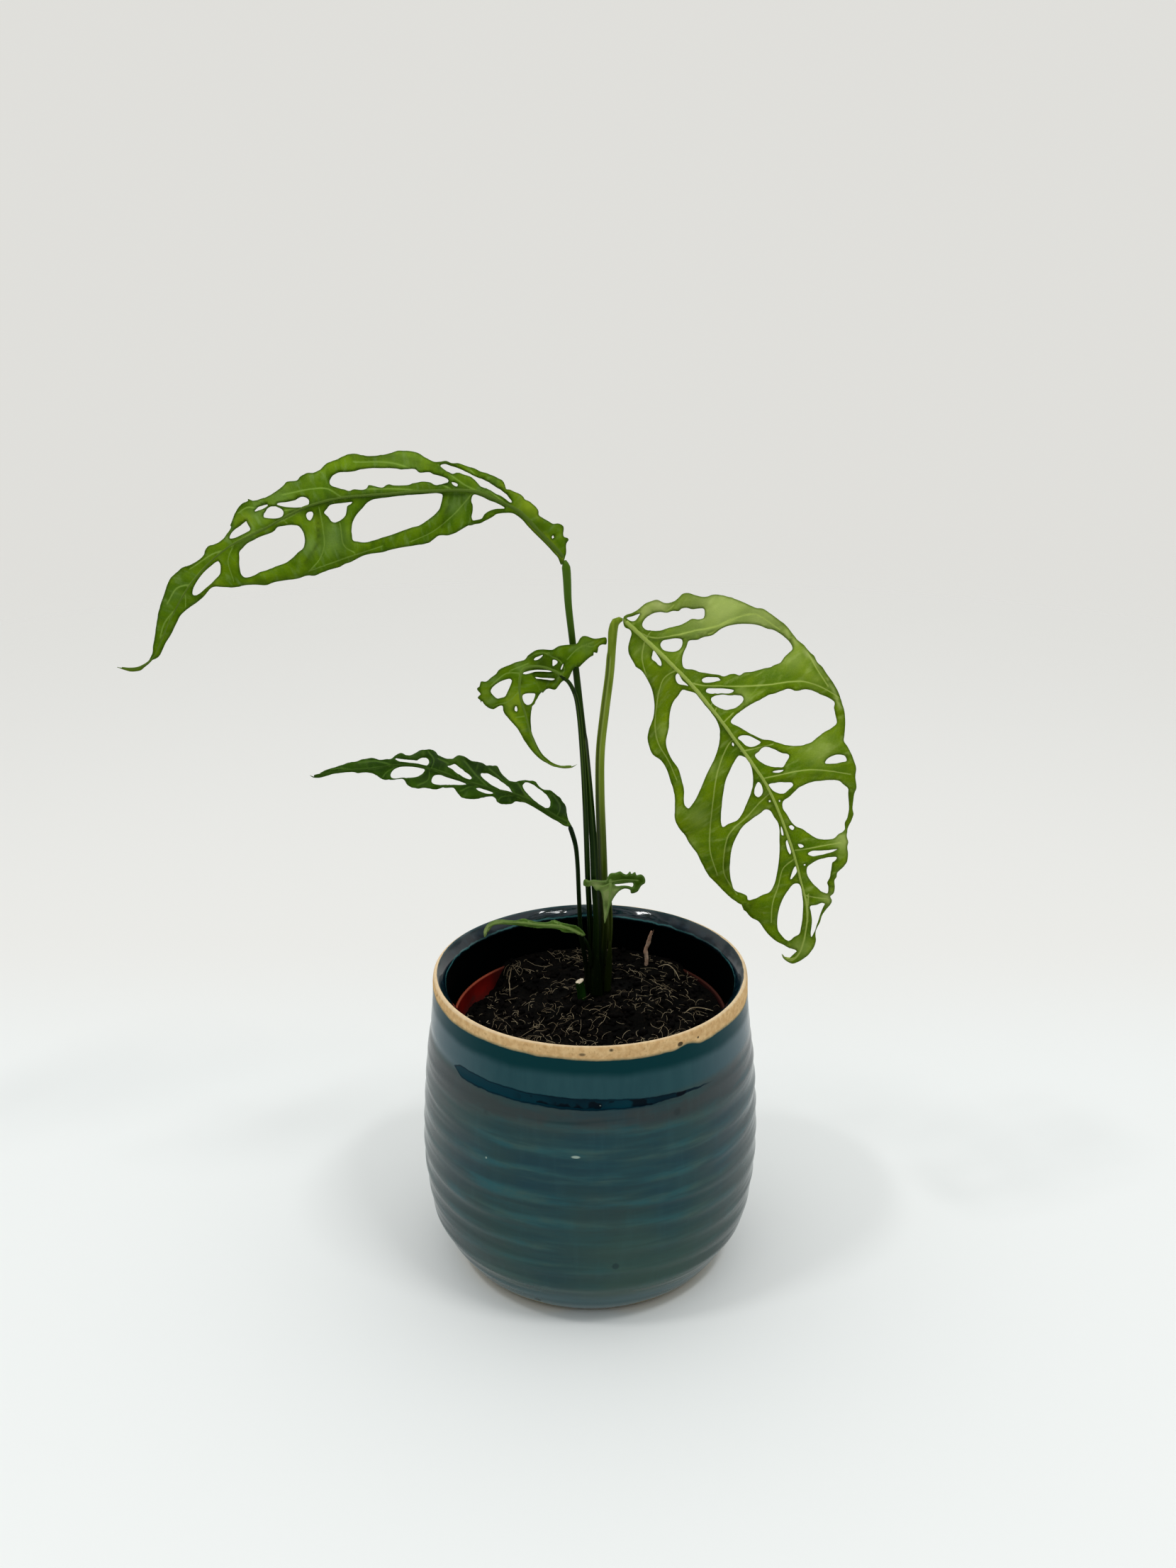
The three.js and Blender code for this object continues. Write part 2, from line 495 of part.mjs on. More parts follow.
const leafLowerLeft = {
  rib: [[803, 1163, 6.2], [785, 1153, 5], [757, 1135, 3.6], [728, 1122, 2.4], [690, 1112, 1], [650, 1100, 0],
    [608, 1085, -1], [570, 1079, -2], [520, 1085, -3.4], [480, 1088, -4.6], [437, 1094, -6]],
  slopes: [-1.4, 1.9],
  ripple: 1.4,
  rippleRate: 0.7,
  outline: [[807, 1165.4], [800, 1147], [797, 1132], [791, 1124], [775, 1112], [763, 1109], [753, 1100],
    [739, 1098], [727, 1101], [714, 1095], [704, 1082], [686, 1077], [670, 1072], [652, 1065], [632, 1068],
    [619, 1063], [604, 1055], [585, 1061], [565, 1060], [551, 1069], [525, 1067], [505, 1073], [478, 1079],
    [455, 1088], [447, 1095], [437, 1093], [446, 1098], [472, 1091], [499, 1089], [525, 1092], [541, 1101],
    [568, 1099], [580, 1112], [612, 1115], [640, 1113], [652, 1126], [666, 1129], [694, 1123], [705, 1135],
    [717, 1136], [726, 1132], [744, 1134], [765, 1146], [788, 1160], [796, 1165.4]],
  holes: [
    [[560, 1071], [580, 1074], [591, 1072], [601, 1070], [605, 1075], [602, 1079], [585, 1076]],
    [[550, 1096], [552, 1089], [562, 1083], [592, 1082], [600, 1086], [590, 1094], [566, 1096]],
    [[609, 1103], [612, 1094], [628, 1096], [659, 1106], [630, 1106]],
    [[631, 1080], [642, 1080], [657, 1091], [665, 1098], [653, 1095], [640, 1086]],
    [[678, 1092], [690, 1093], [711, 1105], [724, 1120], [703, 1113], [688, 1102]],
    [[737, 1108], [743, 1106], [758, 1113], [771, 1125], [777, 1136], [769, 1141], [751, 1127], [740, 1114]],
  ],
};
addPiece('leaf_lower_left', blade(leafLowerLeft), COLOURS.darkLeaf);

const leafSmallRight = {
  rib: [[860.5, 1243, 6.4], [861, 1252, 5.6], [859.5, 1266, 4.6], [857, 1284, 3.6], [853, 1302, 3]],
  slopes: [0.3, 0.2],
  ripple: 0.3,
  rippleRate: 1.1,
  outline: [[824, 1242], [836, 1241], [856, 1240], [860, 1232], [875, 1229], [889, 1230], [909, 1237],
    [910, 1246], [899, 1257], [890, 1260], [889, 1255], [881, 1253], [874, 1256], [866, 1266], [860.5, 1280],
    [857, 1292], [853, 1303], [851, 1280], [850, 1268], [846, 1256.5], [836, 1251], [825, 1251]],
  holes: [],
};
addPiece('leaf_small_right', blade(leafSmallRight), COLOURS.brightLeaf);

const leafLowLeft = {
  rib: [[823.5, 1320.5, 9], [800, 1309, 8], [757, 1304, 7], [717, 1301, 6], [694, 1304, 5.4], [684, 1321, 5]],
  slopes: [-1.1, 1.7],
  ripple: 0.5,
  rippleRate: 1,
  outline: [[824.6, 1318.6], [814, 1306], [792, 1300], [782, 1297], [768, 1300], [738, 1295], [726, 1299],
    [705, 1297], [687, 1304], [683, 1314], [684, 1322], [690, 1310], [700, 1305], [717, 1305], [736, 1307],
    [774, 1310], [788, 1312], [795, 1316], [812, 1317], [821.6, 1321.2]],
  holes: [],
};
addPiece('leaf_low_left', blade(leafLowLeft), COLOURS.leaf);

export default group;
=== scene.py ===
"""A young perforated-leaf aroid in its nursery pot, standing in a thrown and glazed cover pot.

Metres, +Z up, +Y away from the viewer. Sizes are written in millimetres times MM.
"""
import math
import random

import bmesh
import bpy
from mathutils import Matrix, Vector, noise
from mathutils.geometry import delaunay_2d_cdt
from mathutils.kdtree import KDTree


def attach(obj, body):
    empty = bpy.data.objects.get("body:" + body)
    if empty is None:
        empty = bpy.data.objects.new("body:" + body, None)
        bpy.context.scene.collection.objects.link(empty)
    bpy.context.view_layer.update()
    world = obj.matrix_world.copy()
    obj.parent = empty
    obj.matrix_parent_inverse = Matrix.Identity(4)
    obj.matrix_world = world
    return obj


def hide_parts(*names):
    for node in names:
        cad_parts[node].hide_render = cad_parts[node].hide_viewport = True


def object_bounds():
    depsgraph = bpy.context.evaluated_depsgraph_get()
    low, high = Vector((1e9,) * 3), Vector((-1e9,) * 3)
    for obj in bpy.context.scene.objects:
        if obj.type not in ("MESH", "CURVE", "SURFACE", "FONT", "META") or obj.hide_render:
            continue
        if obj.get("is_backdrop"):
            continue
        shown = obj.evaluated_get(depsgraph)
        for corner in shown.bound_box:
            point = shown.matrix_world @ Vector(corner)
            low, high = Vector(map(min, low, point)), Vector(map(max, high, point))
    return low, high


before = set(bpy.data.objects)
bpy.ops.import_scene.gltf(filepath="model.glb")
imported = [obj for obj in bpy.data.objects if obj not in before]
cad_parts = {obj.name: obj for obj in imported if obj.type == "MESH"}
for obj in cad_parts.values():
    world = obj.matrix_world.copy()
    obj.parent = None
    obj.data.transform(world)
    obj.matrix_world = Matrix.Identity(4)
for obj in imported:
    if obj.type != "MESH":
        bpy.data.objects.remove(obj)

MM = 0.001
BODY = "root"
cad_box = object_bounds()
scene = bpy.context.scene

# The eye from which the outlines of the plant are seen
EYE = Vector((-1, -716, 504)) * MM
EYE_PITCH = math.radians(21.4)
PICTURE_FOCAL = 2600
PICTURE_WIDTH = 1659
PICTURE_HEIGHT = 2212
MM_PER_PICTURE_UNIT = 0.285

# Pots and soil, as in the construction model
POT_FLOOR = 7.5
NURSERY_RIM_RADIUS = 60
NURSERY_RIM_HEIGHT = 116
NURSERY_BASE_RADIUS = 43
NURSERY_WALL = 1.3
NURSERY_RIM_BAND = 9
NURSERY_SIDES = 144
NURSERY_BASE = POT_FLOOR + 0.3
DRAIN_HOLES = 6
DRAIN_HOLE_RADIUS = 4
DRAIN_CIRCLE_RADIUS = 27
SOIL_LEVEL = 110.5
SOIL_MOUND = 9.5
SOIL_RADIUS = 55.6
CROWN_CENTRE = (3.3, 14)
THROWING_PITCH = 11.2
THROWING_CREST = 100

# Levels on the glaze, in millimetres above the foot
MOTTLE_LEVEL = 104.5
NECK_LEVEL = 110.5
RUN_LEVEL = 111.2
RUN_WIDTH = 2.6
POOL_LEVEL = 121.2
GLAZE_EDGE = 130.3
THROAT_HIGHLIGHT_LEVEL = 132.8
LIP_LEAN = 1.8


def sight(px, py, depth):
    """The point seen at a picture place, at a depth in millimetres along +Y."""
    across = (px - PICTURE_WIDTH / 2) / PICTURE_FOCAL
    down = (py - PICTURE_HEIGHT / 2) / PICTURE_FOCAL
    sin, cos = math.sin(EYE_PITCH), math.cos(EYE_PITCH)
    ray = Vector((across, cos - down * sin, -sin - down * cos))
    return EYE + ray * ((depth * MM - EYE.y) / ray.y)


def smoothstep(value, low, high):
    share = min(max((value - low) / (high - low), 0), 1)
    return share * share * (3 - 2 * share)


def soil_height(x, y):
    """The height of the soil, all in millimetres."""
    heap = math.exp(-((x - 8) ** 2 + (y - 20) ** 2) / (2 * 27 ** 2))
    lean = (2.4 * x + 1.6 * y) / NURSERY_RIM_RADIUS
    clods = 0.8 * math.sin(0.31 * x + 0.7) * math.cos(0.27 * y + 0.4)
    clods += 0.5 * math.sin(0.13 * x - 0.22 * y)
    edge = 2.4 * smoothstep(math.hypot(x, y), 44, NURSERY_RIM_RADIUS)
    return SOIL_LEVEL + SOIL_MOUND * heap + lean + clods - edge


# Curves


def curve_point(a, b, c, d, share):
    """A point of the centripetal curve through a, b, c and d, between b and c."""
    t1 = max((b - a).length, 1e-9) ** 0.5
    t2 = t1 + max((c - b).length, 1e-9) ** 0.5
    t3 = t2 + max((d - c).length, 1e-9) ** 0.5
    t = t1 + (t2 - t1) * share
    ab = a.lerp(b, t / t1)
    bc = b.lerp(c, (t - t1) / (t2 - t1))
    cd = c.lerp(d, (t - t2) / (t3 - t2))
    return ab.lerp(bc, t / t2).lerp(bc.lerp(cd, (t - t1) / (t3 - t1)), share)


def flowing(knots, spacing, closed=False):
    """Points along the smooth curve through the knots, about one spacing apart."""
    knots = [Vector(knot) for knot in knots]
    if closed:
        padded = [knots[-1], *knots, knots[0], knots[1]]
    else:
        padded = [knots[0] * 2 - knots[1], *knots, knots[-1] * 2 - knots[-2]]
    line = []
    for a, b, c, d in zip(padded, padded[1:], padded[2:], padded[3:]):
        steps = max(1, round((c - b).length / spacing))
        line += [curve_point(a, b, c, d, step / steps) for step in range(steps)]
    return line if closed else line + [knots[-1]]


def points(text):
    """Picture points from a text such as '798,780 801,761'."""
    return [tuple(float(number) for number in pair.split(",")) for pair in text.split()]


def value_along(values, share):
    """The value at a share of the way along an evenly spaced list."""
    place = share * (len(values) - 1)
    lower = min(int(place), len(values) - 2)
    return values[lower] + (values[lower + 1] - values[lower]) * (place - lower)


def tree_of(places):
    tree = KDTree(len(places))
    for index, place in enumerate(places):
        tree.insert(Vector(place).to_3d(), index)
    tree.balance()
    return tree


# Materials


class Value:
    """A shader socket; arithmetic on it adds Math nodes."""

    def __init__(self, finish, socket):
        self.finish = finish
        self.socket = socket

    def maths(self, operation, first, second=0.0):
        return self.finish.node("Math", {"operation": operation}, {0: first, 1: second})

    def __add__(self, other):
        return self.maths("ADD", self, other)

    def __sub__(self, other):
        return self.maths("SUBTRACT", self, other)

    def __rsub__(self, other):
        return self.maths("SUBTRACT", other, self)

    def __mul__(self, other):
        return self.maths("MULTIPLY", self, other)

    def __truediv__(self, other):
        return self.maths("DIVIDE", self, other)

    def __neg__(self):
        return self.maths("MULTIPLY", self, -1)

    def __abs__(self):
        return self.maths("ABSOLUTE", self)

    __radd__ = __add__
    __rmul__ = __mul__

    def most(self, other):
        return self.maths("MAXIMUM", self, other)

    def least(self, other):
        return self.maths("MINIMUM", self, other)

    def rise(self, low, high):
        """0 below low and 1 above high, smooth between them; high may be the lower one."""
        values = {0: self, 1: low, 2: high}
        return self.finish.node("MapRange", {"interpolation_type": "SMOOTHSTEP"}, values)

    def bell(self, centre, reach):
        """1 at the centre and 0 beyond reach to each side."""
        return abs(self - centre).rise(reach, 0)


def srgb(red, green, blue):
    """A colour as seen, 0 to 255, in the linear values that sockets take."""
    shares = [part / 255 for part in (red, green, blue)]
    return (*[s / 12.92 if s <= 0.04045 else ((s + 0.055) / 1.055) ** 2.4 for s in shares], 1)


class Finish:
    """One procedural material with a Principled shader."""

    def __init__(self, name, **sockets):
        self.material = bpy.data.materials.new(name)
        self.material.use_nodes = True
        self.tree = self.material.node_tree
        self.shader = self.tree.nodes["Principled BSDF"]
        self.set(**sockets)
        self.place = self.node("TexCoord", output="Object")

    def node(self, kind, settings=None, sockets=None, output=0):
        made = self.tree.nodes.new("ShaderNode" + kind)
        for name, value in (settings or {}).items():
            setattr(made, name, value)
        for name, value in (sockets or {}).items():
            self.feed(made.inputs[name], value)
        return Value(self, made.outputs[output])

    def feed(self, socket, value):
        if isinstance(value, Value):
            self.tree.links.new(value.socket, socket)
        else:
            socket.default_value = value

    def mix(self, factor, first, second):
        """A colour between two colours."""
        return self.node("Mix", {"data_type": "RGBA"}, {0: factor, 6: first, 7: second}, 2)

    def attribute(self, name):
        return self.node("Attribute", {"attribute_name": name}, output="Fac")

    def noise(self, scale, detail=3.0, stretch=(1, 1, 1), place=None):
        place = self.node("Mapping", {}, {"Vector": place or self.place, "Scale": stretch})
        return self.node("TexNoise", {}, {"Vector": place, "Scale": scale, "Detail": detail})

    def cells(self, scale, stretch=(1, 1, 1), feature="DISTANCE_TO_EDGE"):
        place = self.node("Mapping", {}, {"Vector": self.place, "Scale": stretch})
        return self.node("TexVoronoi", {"feature": feature}, {"Vector": place, "Scale": scale})

    def axes(self):
        """The three coordinates in millimetres."""
        split = self.node("SeparateXYZ", {}, {0: self.place})
        outputs = split.socket.node.outputs
        return [Value(self, outputs[index]) * (1 / MM) for index in range(3)]

    def spot(self, place, reach, stretch=(1, 1, 1)):
        """1 at a place in millimetres and 0 beyond the reach; a stretch below 1 lengthens it."""
        middle = Vector(place) * MM
        away = self.node("VectorMath", {"operation": "SUBTRACT"}, {0: self.place, 1: middle})
        scaled = self.node("VectorMath", {"operation": "MULTIPLY"}, {0: away, 1: stretch})
        gap = self.node("VectorMath", {"operation": "LENGTH"}, {0: scaled}, output=1)
        return gap.rise(reach * MM, reach * 0.6 * MM)

    def bump(self, height, distance):
        self.set(Normal=self.node("Bump", {}, {"Height": height, "Distance": distance * MM}))

    def set(self, **sockets):
        for socket, value in sockets.items():
            self.feed(self.shader.inputs[socket.replace("_", " ")], value)

    def shine_through(self, colour, share):
        """Let some light through the tissue, as a thin blade does."""
        through = self.node("BsdfTranslucent", {}, {"Color": colour})
        body = Value(self, self.shader.outputs[0])
        mixed = self.node("MixShader", {}, {0: share, 1: body, 2: through})
        self.feed(self.tree.nodes["Material Output"].inputs["Surface"], mixed)


class PotSurface:
    """Places and grains on the thrown pot, in millimetres, that the parts of its glaze share."""

    def __init__(self, finish):
        self.x, self.y, self.z = finish.axes()
        across = self.x * self.x + self.y * self.y
        self.radius = across.maths("SQRT", across)
        self.turn = finish.node("Math", {"operation": "ARCTAN2"}, {0: self.x, 1: -self.y})
        self.lean = self.x / self.radius
        # The left and right sides as the camera sees them, where the glaze gets painted reflection.
        self.sides = abs(self.lean).rise(0.5, 1.0)
        self.cloud = finish.noise(26, 5)
        self.streak = finish.noise(60, 4, (1, 1, 3.2))
        self.drip = finish.noise(260, 4, (1, 1, 0.12))
        self.fine = finish.noise(420, 3)
        self.ragged = finish.noise(170, 4)
        self.wander = (self.ragged - 0.5) * 1.6 + (finish.noise(30, 3) - 0.5) * 9
        self.inside = finish.attribute("inner")


def ribbed_glaze(finish, pot):
    """The body over the throwing ribs, with painted reflection at the sides and painted floor light making
    the foot paler; and how strongly it is mottled.
    """
    z, sides, cloud, streak = pot.z, pot.sides, pot.cloud, pot.streak
    lines = finish.noise(34, 4, (1, 1, 9))
    drift = finish.noise(11, 3, (1, 1, 1.6))
    ridge = finish.attribute("ridge").rise(0.15, 0.95)
    hollow = finish.mix(cloud.rise(0.35, 0.65), srgb(8, 56, 66), srgb(26, 60, 62))
    crest = finish.mix(streak.rise(0.35, 0.7), srgb(26, 82, 88), srgb(52, 84, 80))
    wave = ridge * (lines.rise(0.3, 0.62) * 0.6 + 0.12) + lines.rise(0.4, 0.7) * 0.3
    body = finish.mix(wave, hollow, crest)
    body = finish.mix(drift.rise(0.4, 0.62) * 0.5 + z.rise(72, 40) * 0.25, body, srgb(50, 76, 66))
    mottle = z.bell(MOTTLE_LEVEL, 9) * (0.45 + streak.rise(0.3, 0.6) * 0.5)
    mottle = mottle + cloud.rise(0.56, 0.74) * 0.25
    mottle = (mottle + sides * streak.rise(0.2, 0.6) * 0.55).least(0.85)
    body = finish.mix(mottle, body, srgb(48, 56, 56))
    # Painted reflection: the sides are lighter and greyer, as the glaze reflects the bright room there.
    body = finish.mix(sides * 0.2, body, srgb(92, 98, 108))
    body = finish.mix(pot.drip.rise(0.5, 0.75) * 0.05, body, srgb(66, 110, 116))
    # Painted light: the foot is paler, standing in for the pale floor's reflection and the bounce light in
    # the shadow under the belly.
    body = finish.mix(z.rise(18, 10) * 0.6, body, srgb(80, 106, 114))
    body = finish.mix(z.rise(9, 3) * 0.8, body, srgb(128, 144, 146))
    return body, mottle


def glazed_neck(finish, pot, body):
    """The smooth neck above the ribs; and where teal has pooled under the lip."""
    drops = pot.drip.rise(0.35, 0.65) * 0.3 + pot.cloud.rise(0.3, 0.7) * 0.6
    neck = finish.mix(drops, srgb(10, 64, 72), srgb(28, 75, 81))
    # Painted reflection: the neck is lighter at the sides.
    neck = finish.mix(pot.sides * 0.8, neck, srgb(70, 94, 104))
    body = finish.mix(pot.z.rise(NECK_LEVEL, NECK_LEVEL + 3.5), body, neck)
    pooled = (pot.z + pot.lean * LIP_LEAN + pot.wander * 0.5).rise(POOL_LEVEL, POOL_LEVEL + 4.4)
    # Less pooled teal shows at the sides, along with the painted reflection there.
    return finish.mix(pooled * (1 - pot.sides * 0.35), body, srgb(0, 52, 57)), pooled


def dark_run(finish, pot, body):
    """The dark run of glaze below the neck, with the flecks under it; the run and its blots."""
    turn, cloud = pot.turn, pot.cloud
    height = pot.z + pot.lean * LIP_LEAN - RUN_LEVEL
    height = abs(height + (pot.ragged - 0.5) * 1.5 + (pot.streak - 0.5) * 0.8)
    width = turn.rise(-0.98, -0.86) * turn.rise(1.0, -0.1) * RUN_WIDTH
    depth = width - height
    run = depth.rise(-0.3, 0.3) * width.rise(0.1, 0.5)
    deepest = turn.rise(-0.7, -0.05) * cloud.rise(0.25, 0.6)
    body = finish.mix(run, body, finish.mix(deepest, srgb(2, 50, 62), srgb(0, 22, 34)))
    body = finish.mix(run * depth.bell(0.35, 0.5) * 0.7, body, srgb(0, 20, 32))
    blot = finish.noise(120, 2, (1, 1, 1.2)).rise(0.5, 0.56) * turn.rise(-0.5, -0.3)
    blot = blot * turn.rise(0.75, 0.6) * run * height.rise(1.9, 1.2)
    body = finish.mix(blot * 0.85, body, srgb(0, 4, 14))
    fleck = finish.cells(75, feature="F1").rise(0.18, 0.08) * pot.z.bell(103, 8)
    body = finish.mix(fleck * 0.5, body, srgb(20, 36, 40))
    pit = finish.cells(48, feature="F1").rise(0.09, 0.05) * pot.z.rise(108, 96)
    return finish.mix(pit * 0.55, body, srgb(4, 34, 42)), run, blot


def inner_glaze(finish, pot):
    """Painted shade makes it nearly black down inside; blue on the slope of the lip, with a painted
    highlight along the throat between them.
    """
    z = pot.z
    # Painted shade: nearly black below the throat, where little light reaches inside the pot.
    inner = finish.mix(z.rise(131.2, 133.6), srgb(0, 2, 2), srgb(2, 22, 32))
    inner = finish.mix(pot.drip.rise(0.4, 0.7) * 0.5 * z.rise(132.4, 134.4), inner, srgb(22, 50, 62))
    inner = finish.mix(z.rise(135, 136.2), inner, srgb(0, 30, 36))
    # Painted highlight: a pale line where the convex throat catches the light.
    throat_glint = (z + (pot.ragged - 0.5) * 1.8).bell(THROAT_HIGHLIGHT_LEVEL, 0.6)
    return finish.mix(throat_glint * (0.25 + pot.streak.rise(0.35, 0.6) * 0.6), inner, srgb(70, 128, 130))


def bare_clay(finish, pot, edge):
    """Buff clay with dark specks, stained where it meets the glaze."""
    clay = finish.mix(pot.fine.rise(0.3, 0.7), srgb(206, 166, 114), srgb(226, 192, 140))
    clay = finish.mix(finish.noise(900, 2).rise(0.58, 0.7) * 0.4, clay, srgb(168, 128, 80))
    # Painted highlight: paler along the top of the lip, which faces the ceiling lights.
    clay = finish.mix(pot.z.rise(135.9, 136.7) * 0.5, clay, srgb(240, 222, 190))
    speck = finish.cells(95, feature="F1").rise(0.06, 0.04)
    speck = speck.most(finish.spot((8.5, -67.8, 135.2), 1.3, (0.8, 1, 1)))
    speck = speck.most(finish.spot((-3.4, -68.3, 133.4), 1.1, (0.5, 1, 1)) * 0.8)
    speck = speck.most(finish.spot((36.6, -57.4, 132.4), 1.3, (0.7, 1, 1)))
    clay = finish.mix(speck * 0.9, clay, srgb(36, 28, 20))
    return finish.mix(edge.rise(132.0, 130.6) * 0.65, clay, srgb(84, 104, 84))


def glaze_finish():
    """Blue-green glaze: pooled teal under a bare lip, a dark run below it, mottled ribs."""
    finish = Finish("blue_green_glaze", Specular_IOR_Level=0.03, Coat_Roughness=0.05)
    pot = PotSurface(finish)
    z, turn, ragged, inside = pot.z, pot.turn, pot.ragged, pot.inside
    body, mottle = ribbed_glaze(finish, pot)
    body, pooled = glazed_neck(finish, pot, body)
    body, run, blot = dark_run(finish, pot, body)
    colour = finish.mix(inside, body, inner_glaze(finish, pot))

    edge = z + pot.lean * 1.9 + pot.wander * 0.4 - turn.bell(0.62, 0.12) * 1.6
    glazed_lip = (pot.radius + pot.y.rise(-20, 30) * -0.5 + (ragged - 0.5) * 0.5).rise(66.45, 66.25)
    glazed_lip = glazed_lip * z.rise(100, 110)
    foot_line = (z - abs(turn).rise(0.1, 0.4) * 3).rise(1.5, 0.7)
    bare = edge.rise(GLAZE_EDGE, GLAZE_EDGE + 0.6).most(foot_line) * (1 - glazed_lip)
    colour = finish.mix(bare, colour, bare_clay(finish, pot, edge))
    chip = finish.spot((-6.1, -72.8, 88.2), 1.9, (0.75, 1, 2.2))
    chip = chip.most(finish.spot((-43, -59.3, 80), 0.8))
    chip = chip.most(finish.spot((4, -69.9, 110.8), 0.8, (1, 1, 1.4)))
    colour = finish.mix(chip * 0.85, colour, srgb(164, 184, 172))

    gloss = 0.15 + (pot.cloud - 0.5) * 0.1 + pot.fine * 0.04 + mottle * 0.1
    rough = gloss + bare * 0.6 + inside * z.rise(132, 129) * 0.4
    coat = (0.34 - pooled * 0.3 - run * 0.32) * (1 - inside)
    lip_gloss = (inside + glazed_lip).least(1) * z.rise(132, 133)
    coat = (coat + lip_gloss * (0.4 + pot.streak.rise(0.38, 0.52) * 0.5)) * (1 - bare)
    finish.set(Base_Color=colour, Roughness=rough, Coat_Weight=coat)
    grit = finish.cells(260, feature="F1")
    height = ragged * 0.3 * (1 - bare) + bare * (grit * 0.5 + pot.fine * 0.5) + run * 0.5 - blot * 0.4
    finish.bump(height, 0.18)
    return finish


def terracotta_finish():
    finish = Finish("terracotta_plastic", Specular_IOR_Level=0.15)
    x, y, z = finish.axes()
    cloud = finish.noise(70, 4)
    colour = finish.mix(cloud.rise(0.3, 0.7), srgb(76, 2, 0), srgb(106, 10, 4))
    # Painted highlight along the top of the rim.
    colour = finish.mix(z.rise(115.1, 115.7) * 0.6, colour, srgb(176, 84, 56))
    # Painted shade at the back, on the right and low down inside the cover pot, joined with the real soil
    # stains below.
    back = y.rise(34, 46).most(z.rise(110, 104)).most(x.rise(8, 26))
    soil_and_shade = (finish.noise(150, 5).rise(0.5, 0.7) * z.rise(114, 106)).most(back)
    colour = finish.mix(soil_and_shade * 0.85, colour, srgb(22, 9, 6))
    finish.set(Base_Color=colour, Roughness=0.42 + soil_and_shade * 0.3)
    finish.bump(finish.noise(500, 3) + finish.noise(40, 2, (0.2, 0.2, 6)) * 0.6, 0.05)
    return finish


def soil_finish(name, dark, light):
    finish = Finish(name, Specular_IOR_Level=0.06)
    grain = finish.noise(900, 5)
    patch = finish.noise(120, 4)
    colour = finish.mix(grain.rise(0.42, 0.72) * patch.rise(0.3, 0.7), dark, light)
    finish.set(Base_Color=colour, Roughness=0.85 + grain * 0.1)
    finish.bump(grain + finish.cells(700) * 0.8, 0.35)
    return finish


def fibre_finish(name, dark, light):
    finish = Finish(name, Specular_IOR_Level=0.3)
    cloud = finish.noise(160, 3)
    strand = finish.noise(1400, 3)
    colour = finish.mix(cloud.rise(0.3, 0.72), dark, light)
    colour = finish.mix(strand.rise(0.5, 0.75) * 0.5, colour, srgb(64, 50, 38))
    finish.set(Base_Color=colour, Roughness=0.8)
    finish.bump(strand, 0.06)
    return finish


def stalk_finish(name, deep, bright, edge, shade=0.85, young=None):
    """Smooth stalk skin: lengthwise streaks, pale sheath edges, almost black at the soil from painted
    shade.
    """
    finish = Finish(name, Specular_IOR_Level=0.1)
    _, _, z = finish.axes()
    streak = finish.noise(420, 4, (1, 1, 0.05))
    cloud = finish.noise(60, 3, (1, 1, 0.4))
    colour = finish.mix(streak.rise(0.34, 0.68) * 0.75 + cloud.rise(0.4, 0.7) * 0.25, deep, bright)
    colour = finish.mix(finish.attribute("wing").rise(0.2, 1) * 0.75, colour, edge)
    # Painted shade in the channel of each stalk and in the creases between the clasped bases.
    colour = finish.mix(finish.attribute("hollow") * 0.6, colour, srgb(24, 38, 6))
    colour = finish.mix(z.rise(236, 190) * 0.65, colour, srgb(8, 38, 0))
    # Painted shade: nearly black low down, where the stalks stand deep inside the pots.
    colour = finish.mix(z.rise(180, 134) * shade, colour, srgb(4, 10, 2))
    if young:
        colour = finish.mix(z.rise(262, 312) * 0.85, colour, young)
    flecks = finish.cells(900, (1, 1, 0.35), "F1").rise(0.16, 0.06)
    colour = finish.mix(flecks * 0.15, colour, edge)
    finish.set(Base_Color=colour, Roughness=0.36 + cloud * 0.15)
    finish.bump(streak + flecks * 0.3, 0.06)
    finish.shine_through(bright, 0.06)
    return finish


